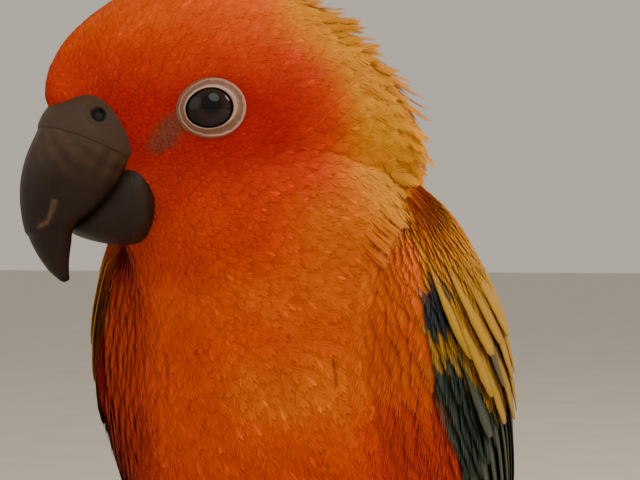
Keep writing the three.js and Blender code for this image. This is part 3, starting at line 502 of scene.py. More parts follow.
def markings(p):
    """Colour of the skin and of the feathers that grow there."""
    a, l, u = to_head(p).T
    x, _, z = p.T
    _, _, across, front = trunk_place(p)
    colour = np.tile(BREAST, (len(p), 1))
    colour = blend(colour, FLANK, soft(z, 98, 82) * soft(np.abs(across), 0.35, 0.85))
    colour = blend(colour, GOLD_BAND, soft(z, 104, 112) * soft(front, -0.2, 0.4))
    patch = np.hypot((x - 7) / 13, (z - 96) / 6.5)
    colour = blend(colour, BELLY_YELLOW, 0.85 * soft(patch, 1.25, 0.3) * soft(front, 0, 0.5))
    colour = blend(colour, FLANK, 0.7 * soft(z, 90, 74))
    colour = blend(colour, BELLY_YELLOW, 0.6 * soft(x, 0, 18) * soft(z, 86, 98) * soft(front, 0, 0.4))
    colour = blend(colour, VENT, soft(z, 60, 46))
    colour = blend(colour, MANTLE, soft(front, 0.15, -0.35))
    # The head
    back = np.hypot(a - 13, np.hypot(l, u + 3))
    head = soft(back, 56, 44) * soft(u, -31, mix(-20, -29, soft(a, -4, -14)))
    crown = blend(np.tile(CROWN, (len(p), 1)), NAPE, soft(a, -12, -27))
    crown = blend(crown, FOREHEAD, 0.8 * soft(a, 8, 14) * soft(u, 16, 9))
    low = blend(np.tile(THROAT, (len(p), 1)), NECK_GOLD, soft(a, -2, -10))
    low = blend(low, NAPE, soft(a, -12, -25))
    skull = blend(low, crown, soft(u + 0.2 * a, 1, 9))
    red = from_segment(a, u, (12, 1.5), (-8, -5))
    skull = blend(skull, CHEEK, 0.9 * soft(red, 16, 9))
    skull = blend(skull, FACE_RED, soft(red, 9, 3))
    grey = from_segment(a, u, (4.4, -0.9), (6.4, -3.0))
    skull = blend(skull, LORE_GREY, 0.75 * soft(grey, 2.4, 0.8) * soft(np.abs(l), 6, 9))
    return blend(colour, skull, head) * mottle(p)


# Skin: one surface through head, neck, body and thighs, inside the feathers' tips
COAT_BODY = 0.8  # how deep the skin lies under the solids' surface
COAT_HEAD = 0.55
COAT_THIGH = 0.9
SKIN_VOXEL = 0.95  # the cells that the trunk, the head and the thighs are joined in
SKIN_RELAXED = 14  # rounds of smoothing after it


def trunk_ring(t, angle):
    s = along(TRUNK, t)
    run = unit((along(TRUNK, t + 0.01) - along(TRUNK, t - 0.01))[..., :3] * [0, 1, 1])
    deep = np.where(np.cos(angle) > 0, s[..., 4], s[..., 5]) - COAT_BODY
    out = np.cos(angle) * deep
    return np.stack([s[..., 0] + np.sin(angle) * (s[..., 3] - COAT_BODY), s[..., 1] + run[..., 2] * out,
                     s[..., 2] - run[..., 1] * out], -1)


def skull_ring(t, angle):
    s = along(SKULL, t)
    tall = (s[..., 1] - s[..., 2]) / 2 - COAT_HEAD
    wide = s[..., 3] - COAT_HEAD - 1.1 * soft(s[..., 0], 10, 12.5)  # drawn in under the cere
    side = np.sin(angle) * wide * (1 + fuller(s[..., 0]) * np.cos(angle))
    return from_head(np.stack([s[..., 0], side, (s[..., 1] + s[..., 2]) / 2 + np.cos(angle) * tall], -1))


def tube_rings(stations, t, angle, upright=True):
    """A round tube through stations of x, y, z and radius."""
    s = along(stations, t)
    run = unit((along(stations, t + 0.02) - along(stations, t - 0.02))[..., :3])
    across = unit(np.cross([1, 0, 0] if upright else [0, 0, 1], run))
    over = np.cross(run, across)
    return (s[..., :3] + across * (np.cos(angle) * s[..., 3])[..., None]
            + over * (np.sin(angle) * s[..., 3])[..., None])


def sided(stations, side):
    return stations * ([side] + [1] * (stations.shape[1] - 1))


def make_skin():
    rows, cols = 60, 72
    t, angle = round_grid(rows, cols)
    bodies = [trunk_ring(t, angle), skull_ring(t, angle)]
    for side in SIDES.values():
        bodies.append(tube_rings(sided(THIGH - [0, 0, 0, COAT_THIGH], side), t, angle))
    points, faces = [], []
    for body in bodies:
        faces += capped(rows, cols, sum(len(p) for p in points))
        points.append(body.reshape(-1, 3))
    mesh = bpy.data.meshes.new("rough_skin")
    mesh.from_pydata(np.concatenate(points).tolist(), [], faces)
    rough = bpy.data.objects.new("rough_skin", mesh)
    bpy.context.collection.objects.link(rough)
    remesh = rough.modifiers.new("Union", "REMESH")
    remesh.mode = "VOXEL"
    remesh.voxel_size = SKIN_VOXEL
    relax = rough.modifiers.new("Relax", "SMOOTH")
    relax.iterations = SKIN_RELAXED
    done = bpy.data.meshes.new_from_object(rough.evaluated_get(bpy.context.evaluated_depsgraph_get()))
    bpy.data.objects.remove(rough)
    points = np.empty(len(done.vertices) * 3)
    done.vertices.foreach_get("co", points)
    corners = np.empty(len(done.loops), int)
    done.loops.foreach_get("vertex_index", corners)
    normals = np.empty(len(done.vertices) * 3)
    done.vertex_normals.foreach_get("vector", normals)
    bpy.data.meshes.remove(done)
    return points.reshape(-1, 3), corners.reshape(-1, 4), normals.reshape(-1, 3)


skin_points, skin_faces, skin_normals = make_skin()
skin_tree = BVHTree.FromPolygons(skin_points.tolist(), skin_faces.tolist())
piece("skin", skin_points, skin_faces, DOWN_SKIN,
      replaces=("head", "neck", "torso", "thigh_left", "thigh_right"), paint=markings(skin_points))


def on_skin(points):
    """Nearest points of the skin, and its outward directions there."""
    found = [skin_tree.find_nearest(p) for p in points.reshape(-1, 3).tolist()]
    places = np.array([f[0] for f in found])
    corners = skin_faces[[f[2] for f in found]]
    nearness = 1 / (((skin_points[corners] - places[:, None]) ** 2).sum(-1, keepdims=True) + 0.02)
    out = unit((skin_normals[corners] * nearness).sum(1))
    return places.reshape(points.shape), out.reshape(points.shape)


# The wings' sheet, as in the solids: u from the shoulder to the tip, v from the breast's edge to the back's
def wing_flat(u, v):
    return mix(along(LEADING_EDGE, u), along(TRAILING_EDGE, u), v[..., None])


def wing_at(u, v, lift, side):
    u, v, lift = np.broadcast_arrays(u, v, lift)
    ones = np.ones_like(u)
    run = wing_flat(np.minimum(u + 0.01, 1), ones / 2) - wing_flat(np.maximum(u - 0.01, 0), ones / 2)
    short = np.minimum(u, 0.9)
    chord = unit(wing_flat(short, ones) - wing_flat(short, ones * 0))
    out = unit(np.cross(run, chord))
    swell = along(WING_SWELL, u)[..., 0]
    lean = 1.1 * (v - 0.5) * np.minimum(swell / 12, 1)
    normal = unit(out + chord * lean[..., None])
    made = wing_flat(u, v) + out * (4 * v * (1 - v) * swell)[..., None] + normal * lift[..., None]
    return made * [side, 1, 1]


# Feathers of the body
BILL_ROOT = np.array([13, 0, -3])  # in the head's frame, where the feathers' lie starts


def lie(points, out):
    """Direction of the feathers' tips: away from the bill over the head, then down the body."""
    away = to_head(points) - BILL_ROOT
    reach = np.linalg.norm(away, axis=1)
    share = soft(reach, 60, 34)[:, None]
    run = trunk_place(points)[1]
    flow = share * unit(away) @ HEAD_AXES + (1 - share) * run
    return unit(flow - out * (flow * out).sum(1, keepdims=True))


def ring_reach(a, l, u):
    """Distance from the eye's middle on the side of the head, over the bare ring's own reach there."""
    a, u = a - RING_MIDDLE[0], u - RING_MIDDLE[1]
    long = a * math.cos(RING_TILT) + u * math.sin(RING_TILT)
    high = -a * math.sin(RING_TILT) + u * math.cos(RING_TILT)
    return np.hypot(long / (RING_EDGE * RING_LONG), high / RING_EDGE) + 9 * (np.abs(l) < 7)


def feather_length(p):
    a, l, u = to_head(p).T
    reach = np.linalg.norm(to_head(p) - BILL_ROOT, axis=1)
    length = np.interp(reach, [8, 16, 26, 36, 46, 62, 90, 120], [2.1, 2.8, 4.1, 5.2, 6.6, 8.8, 10.5, 11.5])
    by_eye = 1.5 + 0.42 * RING_EDGE * np.maximum(ring_reach(a, l, u) - 1, 0)
    leg = soft(p[:, 2], 52, 34) * soft(np.abs(p[:, 0]), 3, 6) * soft(p[:, 1], 34, 28)
    return mix(np.minimum(length, by_eye), 6.0, leg)


def covered():
    """Places on both wings' sheets, their outward directions, and which are well inside its edges."""
    u, v = np.meshgrid(np.linspace(0, 0.95, 70), np.linspace(0, 1, 30), indexing="ij")
    places = [wing_at(u, v, 0.0, side).reshape(-1, 3) for side in SIDES.values()]
    outs = [wing_at(u, v, 1.0, side).reshape(-1, 3) - place for side, place in zip(SIDES.values(), places)]
    inside = ((u > 0.06) & (v > 0.16) & (v < 0.9)).ravel()
    return np.concatenate(places), np.concatenate(outs), np.tile(inside, 2)


def tree_of(points):
    made = kdtree.KDTree(len(points))
    for i, p in enumerate(points.tolist()):
        made.insert(p, i)
    made.balance()
    return made


wing_places, wing_outs, wing_inside = covered()
wing_tree = tree_of(wing_places)


def under_wing(points):
    hidden = np.zeros(len(points), bool)
    for i, p in enumerate(points.tolist()):
        place, near, far = wing_tree.find(p)
        hidden[i] = wing_inside[near] and far < 20 and (np.array(place) - p) @ wing_outs[near] > 1.2
    return hidden


def thinned(points, reach):
    """Numbers of the points that are left when each keeps the later ones at least its reach away."""
    tree = tree_of(points)
    free = np.ones(len(points), bool)
    kept = []
    for i, point in enumerate(points.tolist()):
        if free[i]:
            kept.append(i)
            for _, near, _ in tree.find_range(point, reach[i]):
                free[near] = False
    return kept


def scattered(seed, tries, spacing):
    """Roots all over the skin, no nearer each other than spacing of a feather's length."""
    draw = np.random.default_rng(seed)
    quads = skin_points[skin_faces]
    area = np.linalg.norm(np.cross(quads[:, 2] - quads[:, 0], quads[:, 3] - quads[:, 1]), axis=1) / 2
    wanted = area / feather_length(quads.mean(1)) ** 2
    picked = draw.choice(len(quads), tries, p=wanted / wanted.sum())
    s, r = draw.random((2, tries, 1))
    q = quads[picked]
    roots = mix(mix(q[:, 0], q[:, 1], s), mix(q[:, 3], q[:, 2], s), r)
    return roots[thinned(roots, feather_length(roots) * spacing)]


def vane_grid(path, out, half, profile, lift, cols, draw, droop=0.12, slant=0.35, jag=0.12, roll=0.0):
    """Points of many feathers at once, as [feather, row, column], and the outward direction of each row.

    The middle of each follows its path, lifted outward. The barbs slant towards the tip, to an uneven edge.
    """
    count, rows = path.shape[:2]
    ahead = unit(np.gradient(path, axis=1))
    across = unit(np.cross(ahead, out))
    rise = np.cross(across, ahead)
    if roll:
        turn = roll * np.minimum(3 * np.linspace(0, 1, rows), 1)[None, :, None]
        across = across * np.cos(turn) - rise * np.sin(turn)
        rise = np.cross(across, ahead)
    c = np.linspace(-1, 1, cols)
    w = half[:, None] * profile
    x = c * w[..., None]
    rag = jag * (draw.random((count, rows, 2)) - 0.3 + 0.5 * (np.arange(rows) % 2)[None, :, None])
    x[..., [0, -1]] *= 1 + rag
    fall = -droop * x**2 / np.maximum(half[:, None, None], 1e-6)
    on = path + rise * lift[..., None]
    grid = (on[:, :, None] + across[:, :, None] * x[..., None] + rise[:, :, None] * fall[..., None]
            + ahead[:, :, None] * (slant * np.abs(x))[..., None])
    return grid, rise, x


HALF_PATCH = 0.0015  # half the side of a feather's patch on the map OFBake
PATCH_REACH = (0.004, 0.996)


def feather_piece(name, grid, x, length, paint, roots_uv, material, thick=0.0, rise=None, replaces=()):
    """One mesh of feathers, with the map named Vane in millimetres and a small patch of OFBake each."""
    count, rows, cols = grid.shape[:3]
    faces = grid_faces(count, rows, cols)
    t = np.linspace(0, 1, rows)[None, :, None]
    vane = np.stack([x, np.broadcast_to(t * length[:, None, None], x.shape)], -1)
    patch = np.stack(np.broadcast_arrays(np.linspace(-1, 1, cols)[None, None], 2 * t - 1), -1) * HALF_PATCH
    spot = np.clip(roots_uv[:, None, None], *PATCH_REACH) + patch
    points, places, spots, colours = (v.reshape(-1, v.shape[-1]) for v in (grid, vane, spot, paint))
    if thick:
        under = (grid - rise[:, :, None] * thick).reshape(-1, 3)
        top = len(points)
        ring = [r * cols for r in range(rows)] + [(rows - 1) * cols + c for c in range(1, cols)]
        ring += [r * cols + cols - 1 for r in range(rows - 2, -1, -1)] + list(range(cols - 2, 0, -1))
        ring = np.array(ring)
        after = np.roll(ring, -1)
        one = np.stack([ring, after, after + top, ring + top], 1)
        rim = (one[None] + (np.arange(count) * rows * cols)[:, None, None]).reshape(-1, 4)
        faces = np.concatenate([faces, faces[:, ::-1] + top, rim])
        points = np.concatenate([points, under])
        places, spots, colours = (np.concatenate([v, v]) for v in (places, spots, colours))
    return piece(name, points, faces, material, replaces=replaces, paint=colours,
                 maps={"OFBake": spots, "Vane": places})


def contour(rows, shoulder, root, tip):
    """Half width along a feather: widening to its shoulder, then round to its tip."""
    t = np.linspace(0, 1, rows)
    before = np.sin(np.minimum(t / shoulder, 1) * math.pi / 2)
    past = np.maximum((t - shoulder) / (1 - shoulder), 0)
    return mix(root, 1, before) * mix(tip, 1, np.sqrt(1 - past**2))


WALK = 5
BARB_SPLIT = 0.72  # share of a barb's length where it parts from the next


def barb_pattern(barbs, widest=0.55, root=0.3, tip=0.12, first=0.4, last=0.66):
    """One feather as barbs on both sides of a shaft, swept towards its tip, five points to a barb.

    The barbs leave the shaft from its root to last, and end from first to the tip. Gives each point's place
    along and across the feather, its share of the barb's length and the barb's number, and the faces.
    """
    starts = np.linspace(0.0, last, barbs + 1)
    ends = mix(first, 1, starts / last)
    rising = np.sin(np.clip((ends - first) / (widest - first), 0, 1) * math.pi / 2)
    falling = np.sqrt(1 - np.clip((ends - widest) / (1 - widest), 0, 1) ** 2)
    reach = mix(root, 1, rising) * mix(tip, 1, falling)
    reach[-1] = 0
    rows, faces = [], []
    for side in (-1, 1):
        for barb in range(barbs):
            corner = len(rows)
            for edge, share in ((0, 0), (1, 0), (0, BARB_SPLIT), (1, BARB_SPLIT), (0.5, 1)):
                start, end, wide = (mix(v[barb], v[barb + 1], edge) for v in (starts, ends, reach))
                rows.append((mix(start, end, share), side * wide * share, share, barb + (side > 0) * barbs))
            corners = [(0, 2, 3), (0, 3, 1), (2, 4, 3)]
            faces += [[corner + c for c in (face if side > 0 else face[::-1])] for face in corners]
    return np.array(rows).T, np.array(faces)


def barbed(name, places, outs, half, pattern, draw, paints, roots_uv, material, sink=0.12, loose=1.0,
           pale=0.05, bow=0.15, turns=(0.15, 0.95)):
    """Feathers whose barbs part at the edge.

    Their middle lines and outward directions are [station, feather]. The first paint turns into the second
    between two places along the feather. Each triangle is turned to face outward.
    """
    (t, x, share, barb), faces = pattern
    stations, count = places.shape[:2]
    at, before, after = (along(places.reshape(stations, -1), np.clip(t + step, 0, 1)).reshape(-1, count, 3)
                         .transpose(1, 0, 2) for step in (0, -0.03, 0.03))
    out = unit(along(outs.reshape(stations, -1), t).reshape(-1, count, 3).transpose(1, 0, 2))
    ahead = unit(after - before)
    across = unit(np.cross(ahead, out))
    out = np.cross(across, ahead)
    length = np.linalg.norm(np.diff(places, axis=0), axis=-1).sum(0)
    rough = (draw.random((count, int(barb.max()) + 1, 5)) - 0.5)[:, barb.astype(int)]
    beside = half[:, None] * x * (1 + 0.35 * loose * rough[..., 0] * share)
    onward = length[:, None] * 0.09 * loose * rough[..., 1] * share**2
    rise = half[:, None] * (-sink * x**2 + 0.1 * loose * rough[..., 2] * share)
    points = at + across * beside[..., None] + ahead * onward[..., None] + out * rise[..., None]
    facing = unit(out + across * (bow * x)[None, :, None] + ahead * (0.2 * rough[..., 3])[..., None])
    root, tip = paints
    paint = mix(root[:, None], tip[:, None], soft(t, *turns)[None, :, None])
    # Each barb's random tone, a painted highlight 30% lighter on about one barb in fifty, and the paler barb
    # ends that pale gives
    tone_and_highlight = 0.14 * rough[..., 4] + 0.3 * (rough[..., 4] > 0.48) + pale * (share * soft(t, 0.3, 0.9))[None]
    paint = paint * (1 + tone_and_highlight)[..., None]
    vane = np.stack([beside, t[None] * length[:, None]], -1)
    patch = np.stack([x, 2 * np.clip(t, 0, 1) - 1], -1) * HALF_PATCH
    spots = np.clip(roots_uv[:, None], *PATCH_REACH) + patch[None]
    whole = (faces[None] + (np.arange(count) * len(t))[:, None, None]).reshape(-1, 3)
    corners = points.reshape(-1, 3)[whole]
    flat = np.cross(corners[:, 1] - corners[:, 0], corners[:, 2] - corners[:, 0])
    turned = (flat * facing.reshape(-1, 3)[whole].sum(1)).sum(1) < 0
    whole[turned] = whole[turned][:, ::-1]
    piece(name, points, whole, material, paint=paint, maps={"OFBake": spots, "Vane": vane},
          normals=facing)


def laid(roots, length, draw, sway, turn=0.0):
    """Lines over the skin from roots along the lie, and outward directions, as [station, feather]."""
    place, out = on_skin(roots)
    heading = lie(place, out)
    side = np.cross(out, heading)
    heading = unit(heading + side * (turn + sway * (draw.random(len(roots)) - 0.5))[:, None])
    places, outs = [place], [out]
    for _ in range(WALK):
        place, out = on_skin(places[-1] + heading * (length / WALK)[:, None])
        places.append(place)
        outs.append(out)
        flow = mix(heading, lie(place, out), 0.3)
        heading = unit(flow - out * (flow * out).sum(1, keepdims=True))
    return np.array(places), np.array(outs)


def unwrapped(p, is_head):
    """Places on an unwrap of the skin: round and along the head, or round and along the trunk."""
    if is_head:
        h = to_head(p)
        k = np.interp(h[:, 0], SKULL_FINE[:, 0], np.linspace(0, 1, len(SKULL_FINE)))
        s = along(SKULL, k)
        turn = np.arctan2(h[:, 1] / s[:, 3], (h[:, 2] - (s[:, 1] + s[:, 2]) / 2) / ((s[:, 1] - s[:, 2]) / 2))
        return np.stack([turn / (2 * math.pi) + 0.5, k], 1)
    t, _, across, front = trunk_place(p)
    return np.stack([np.arctan2(across, front) / (2 * math.pi) + 0.5, t], 1)


STATIONS = np.linspace(0, 1, WALK + 1)[:, None]


def coat(name, roots, seed, pattern, is_head, material, wide, pieces):
    """Feathers over part of the skin, lying close, in a number of pieces."""
    draw = np.random.default_rng(seed)
    roots = roots[np.argsort(roots[:, 2])]
    for part, chosen in enumerate(np.array_split(np.arange(len(roots)), pieces)):
        base = roots[chosen]
        count = len(base)
        length = feather_length(base) * (0.9 + 0.25 * draw.random(count))
        places, outs = laid(base, length, draw, 0.35)
        top = (0.2 + 0.03 * length) * (0.85 + 0.3 * draw.random(count))
        ruffled = nape_ruffle(base) * draw.random(count) ** 2 * length * 0.5
        lift = mix(-0.08, top, STATIONS**0.75) + ruffled * STATIONS**2
        half = length * wide * (0.85 + 0.3 * draw.random(count)) * (1 - 0.3 * (ruffled > 1))
        tint = 1 + 0.12 * (draw.random((count, 1)) - 0.5) * [0.7, 1.3, 1.0]
        # The tips are painted 3% lighter than the roots: a little painted shade on the roots, which lie
        # under other feathers
        paints = markings(base) * tint, markings(places[-1]) * tint * 1.03
        barbed(f"{name}_{part + 1}", places + outs * lift[..., None], outs, half, pattern, draw, paints,
               unwrapped(base, is_head), material)


def nape_ruffle(p):
    """How far feathers stand off the back of the head and neck, from 0 to 1."""
    a, l, u = to_head(p).T
    return soft(a, -15, -24) * soft(u, -34, -24) * soft(np.abs(l), 21, 12)


# Where the face's feathers end at the bill, up and ahead
BILL_BORDER = ((-17.5, -16, -9.5, -5, -1.5, 3, 5, 6.2), (13, 12.2, 10.3, 10.6, 11.2, 12.2, 13.5, 18))
BILL_TOP = 6.2
BILL_LOW = -18.5


def bill_clear(h):
    """False where the bill, its cere or the eye's bare skin takes the feathers' place."""
    a, l, u = h.T
    ring = ring_reach(a, l, u) < 1.0
    front = np.interp(u, *BILL_BORDER)
    return ~(ring | ((a > front) & (u < BILL_TOP) & (u > BILL_LOW)))


ROOT_TRIES = 330000
ROOT_SPACING = 0.2  # over the feather's length
FACE_REACH = 33  # from the bill's root
NECK_REACH = 62
roots = scattered(7, ROOT_TRIES, ROOT_SPACING)
roots = roots[bill_clear(to_head(roots))]
roots = roots[~under_wing(roots)]
reach = np.linalg.norm(to_head(roots) - BILL_ROOT, axis=1)
face = reach < FACE_REACH
neck = ~face & (reach < NECK_REACH)
coat("face_coat", roots[face], 11, barb_pattern(9), True, FACE_PLUMAGE, 0.26, 2)
coat("neck_coat", roots[neck], 12, barb_pattern(14), True, BODY_PLUMAGE, 0.27, 2)
coat("body_coat", roots[~face & ~neck], 13, barb_pattern(22), False, BODY_PLUMAGE, 0.28, 2)


# Wings
WING_GOLD = linear("#f09800")
WING_YELLOW = linear("#bd8a18")
WING_OLIVE = linear("#8f7a20")
SLATE = linear("#3a4044")
FLIGHT_GREEN = linear("#36443a")
FLIGHT_BLUE = linear("#334248")
PALE_EDGE = linear("#cfa33a")


# On each wing's sheet: where the breast's feathers end, as u then v, and where the yellow gives way to the
# dark flight feathers, as v then u
WING_FRONT = {
    "left": ((0, 0.06, 0.09, 0.135, 0.17, 0.235, 0.28, 0.34, 0.5),
             (0.12, 0.095, 0.065, 0.05, 0.02, 0.01, 0.015, 0.03, 0.03)),
    "right": ((0, 0.1, 0.2, 0.25, 0.31, 0.38, 0.5), (0.06, 0.03, 0.03, 0.11, 0.09, 0.03, 0.02)),
}
WING_BORDER = ((0, 0.08, 0.12, 0.3, 0.6, 1), (0.21, 0.218, 0.26, 0.385, 0.46, 0.5))
DARK_PATCHES = (((0.168, 0.085), (0.034, 0.055)), ((0.25, 0.27), (0.05, 0.032)))  # middle and reach of each


def wing_colour(u, v, side):
    """Colour of the wing's feathers by the place of their tips: yellow coverts over dark flight feathers.

    Two dark patches show among the coverts of the left wing.
    """
    colour = blend(np.tile(WING_GOLD, (len(u), 1)), WING_YELLOW, soft(u, 0.08, 0.2))
    colour = blend(colour, WING_OLIVE, 0.45 * soft(u, 0.24, 0.4))
    for place, spread in DARK_PATCHES:
        far = np.hypot((u - place[0]) / spread[0], (v - place[1]) / spread[1])
        colour = blend(colour, SLATE, soft(far, 1.1, 0.95) * (side > 0))
    return blend(colour, FLIGHT_GREEN, soft(u - np.interp(v, *WING_BORDER), 0.0, 0.02))


def wing_markings(side_name, side, u, v):
    """Colour on the wing's sheet, with the breast's colours along its front edge."""
    body = markings(wing_at(u, v, 0.0, side))
    behind = v - np.interp(u, *WING_FRONT[side_name])
    return blend(wing_colour(u, v, side), body, soft(behind, 0.012, -0.004))


# Rows of feathers, each value from the first feather to the last: start and end on the sheet as u and v,
# half width, and height over the sheet at the root and where the feather has risen. Lines are a step apart
FLIGHT = {"lines": 1, "rising": 0.7, "ease": 0.8}
COVERT = {"rising": 1, "ease": 0.5}
FLIGHT_TIERS = {
    "primaries": {**FLIGHT, "count": 7, "u0": (0.56, 0.6), "u1": (1, 0.87), "v0": (0.2, 0.52),
                  "v1": (0.24, 0.6), "wide": (3.3, 4), "sunk": (-4.2, -1.7), "proud": (-4.2, -0.9),
                  "shoulder": 0.3, "tip": 0.14, "roll": 0},
    "secondaries": {**FLIGHT, "count": 9, "u0": (0.3, 0.4), "u1": (0.78, 0.65), "v0": (0.1, 0.9),
                    "v1": (0.42, 0.92), "wide": (4.2, 4.8), "sunk": (-2, -2), "proud": (0.2, 0.8),
                    "shoulder": 0.6, "tip": 0.3, "roll": 0.2},
}
COVERT_TIERS = {
    "outer_coverts": {**COVERT, "count": 7, "lines": 2, "step": -0.06, "u0": (0.32, 0.37), "u1": (0.5, 0.56),
                      "v0": (0.075, 0.34), "v1": (0.085, 0.36), "wide": (3.2, 3.6), "sunk": (-1.6, -1.6),
                      "proud": (0.1, 0.5)},
    "greater_coverts": {**COVERT, "count": 9, "lines": 1, "step": 0, "u0": (0.28, 0.32), "u1": (0.47, 0.5),
                        "v0": (0.36, 0.95), "v1": (0.38, 0.96), "wide": (4.0, 4.4), "sunk": (-1.6, -1.6),
                        "proud": (0.7, 1.0)},
    "median_coverts": {**COVERT, "count": 11, "lines": 3, "step": 0.045, "u0": (0.09, 0.13),
                       "u1": (0.225, 0.29), "v0": (0.15, 0.94), "v1": (0.17, 0.95), "wide": (3.6, 4.0),
                       "sunk": (-1.2, -1.2), "proud": (0.6, 0.9)},
}
WING_RUN = 135  # millimetres of the wing to one of u, near its shoulder
COVERT_THICK = 0.15
FLIGHT_THICK = 0.22


def tier_lines(tier, side, t, draw):
    """Middle lines of one tier's feathers as [feather, station], their outward directions, and u and v."""
    k, line = np.meshgrid(np.linspace(0, 1, tier["count"]), np.arange(tier["lines"]), indexing="ij")
    k = (k + (line % 2 - 0.5 * (tier["lines"] > 1)) * 0.5 / tier["count"]).ravel()
    start = line.ravel() * tier.get("step", 0)
    fields = ("u0", "u1", "v0", "v1", "sunk", "proud")
    u0, u1, v0, v1, sunk, proud = (mix(*tier[field], k) for field in fields)
    count = len(k)
    u = mix((u0 + start)[:, None], (u1 + start + 0.012 * (draw.random(count) - 0.5))[:, None], t[None])
    v = mix(v0[:, None], v1[:, None] + 0.016 * (draw.random((count, 1)) - 0.5), t[None])
    rising = np.minimum(t[None] / tier["rising"], 1) ** tier["ease"]
    lift = mix(sunk[:, None], proud[:, None] + 0.3 * (draw.random((count, 1)) - 0.5), rising)
    path = wing_at(u, v, lift, side)
    half = mix(*tier["wide"], k) * (0.93 + 0.14 * draw.random(count))
    return path, wing_at(u, v, lift + 1, side) - path, half, u, v


def flight_feathers(side_name, side, tier_name, tier, seed):
    draw = np.random.default_rng(seed)
    rows, cols = 22, 7
    path, out, half, u, v = tier_lines(tier, side, np.linspace(0, 1, rows), draw)
    count = len(half)
    profile = contour(rows, tier["shoulder"], 0.45, tier["tip"])
    grid, rise, x = vane_grid(path, out, half, profile, np.zeros_like(u), cols, draw, droop=0.12, slant=0.3,
                              jag=0.04, roll=side * tier["roll"])
    length = np.linalg.norm(np.diff(path, axis=1), axis=2).sum(1)
    base = blend(np.tile(FLIGHT_GREEN, (count, 1)), FLIGHT_BLUE, draw.random(count))
    base = base * (1 + 0.2 * (draw.random((count, 1)) - 0.5))
    edge = blend(base, WING_OLIVE, np.full(count, 0.35))
    share = soft(np.linspace(-1, 1, cols) * side, 0.5, 1)
    paint = mix(base[:, None, None], edge[:, None, None], share[None, None, :, None]) + 0 * grid
    feather_piece(f"{tier_name}_{side_name}", grid, x, length, paint, np.stack([u[:, 0], v[:, 0]], 1),
                  FLIGHT_PLUMAGE, thick=FLIGHT_THICK, rise=rise)


def covert_feathers(side_name, side, tier_name, tier, seed):
    """Broad coverts with darker middles and yellow or pale edges."""
    draw = np.random.default_rng(seed)
    rows, cols = 14, 7
    path, out, half, u, v = tier_lines(tier, side, np.linspace(0, 1, rows), draw)
    grid, rise, x = vane_grid(path, out, half, contour(rows, 0.6, 0.6, 0.25), np.zeros_like(u), cols, draw,
                              droop=0.1, slant=0.4, jag=0.05, roll=side * 0.08)
    length = np.linalg.norm(np.diff(path, axis=1), axis=2).sum(1)
    base = wing_colour(u[:, -1], v[:, -1], side) * (1 + 0.14 * (draw.random((len(half), 1)) - 0.5))
    centre = blend(base, SLATE, 0.3 * soft(u[:, -1], 0.2, 0.34))
    yellow = soft(u[:, -1] - np.interp(v[:, -1], *WING_BORDER), 0.02, 0.0)
    edge = blend(np.tile(WING_OLIVE, (len(half), 1)), PALE_EDGE, yellow)
    edge = blend(base, edge, mix(0.15, 0.2, yellow)) * 1.03
    share = soft(np.abs(np.linspace(-1, 1, cols)), 0.3, 1)
    paint = mix(centre[:, None, None], edge[:, None, None], share[None, None, :, None]) + 0 * grid
    spots = np.stack([u[:, 0], v[:, 0]], 1) * 0.9 + 0.05
    feather_piece(f"{tier_name}_{side_name}", grid, x, length, paint, spots, WING_PLUMAGE,
                  thick=COVERT_THICK, rise=rise)


LAP = (-0.11, 0.04)  # v where the breast's feathers leave the skin, and where they reach the wing
LAP_HEIGHT = 0.2  # over the skin


def lapped(u, v, lift, side):
    """Places over the wing's sheet, which slopes down to the skin ahead of the wing's front edge."""
    place = wing_at(u, v, lift, side)
    skin, out = (found.reshape(place.shape) for found in on_skin(place.reshape(-1, 3)))
    low = skin + out * np.broadcast_to(lift + LAP_HEIGHT, v.shape)[..., None]
    return mix(low, place, soft(v, *LAP)[..., None])


WING_TRIES = 120000
WING_SPACING = 0.17  # over the feather's length
COAT_END = ((0, 0.12, 0.2, 0.3), (0.3, 0.3, 0.27, 0.25))  # where the coverts take over, as v then u


def wing_coat(side_name, side):
    """Small soft feathers over the wing's shoulder, and the breast's over its front edge."""
    draw = np.random.default_rng(90 + side)
    u, v = mix(-0.01, 0.55, draw.random(WING_TRIES)), mix(-0.13, 0.98, draw.random(WING_TRIES))
    ahead = v < np.interp(u, *WING_FRONT[side_name])
    wanted = (u < np.interp(v, *COAT_END)) | ahead
    u, v, ahead = u[wanted], v[wanted], ahead[wanted]
    length = mix(4.5, 8.5, soft(u, 0.03, 0.25))
    kept = thinned(wing_at(u, v, 0.0, side), WING_SPACING * length)
    u, v, ahead = u[kept], v[kept], ahead[kept]
    count = len(u)
    length = length[kept] * (0.9 + 0.2 * draw.random(count))
    t = STATIONS
    along_u = u + t * length / WING_RUN
    along_v = v + t * 0.02 * (draw.random(count) - 0.5)
    top = 0.12 + 0.01 * length + 0.1 * draw.random(count)
    lift = mix(-0.25, top, t**0.6)
    places = lapped(along_u, along_v, lift, side)
    outs = unit(wing_at(along_u, along_v, lift + 1, side) - places)
    outs = unit(mix(outs, on_skin(places)[1], 0.75 * ahead[:, None]))
    half = 0.28 * length
    # Each feather is as round across as the sheet is at its middle
    middle = lapped(along_u[3], along_v[3], lift[3], side)
    beside = sum(lapped(along_u[3], along_v[3] + step, lift[3], side) for step in (-0.03, 0.03)) / 2 - middle
    apart = np.linalg.norm(lapped(along_u[3], along_v[3] + 0.03, lift[3], side) - middle, axis=1)
    bend = np.clip(-(beside * outs[3]).sum(1) / apart**2 * half, -0.2, 0.6)
    tint = 1 + 0.14 * (draw.random((count, 1)) - 0.5)
    tips = wing_markings(side_name, side, along_u[-1], along_v[-1]) * tint
    spots = np.stack([0.05 + 1.5 * np.maximum(u, 0), 0.1 + 0.85 * np.maximum(v, 0)], 1)
    barbed(f"wing_coat_{side_name}", places, outs, half, barb_pattern(16), draw, (tips, tips), spots,
           WING_PLUMAGE, sink=0.06 + bend[:, None], loose=0.7, pale=0.08)


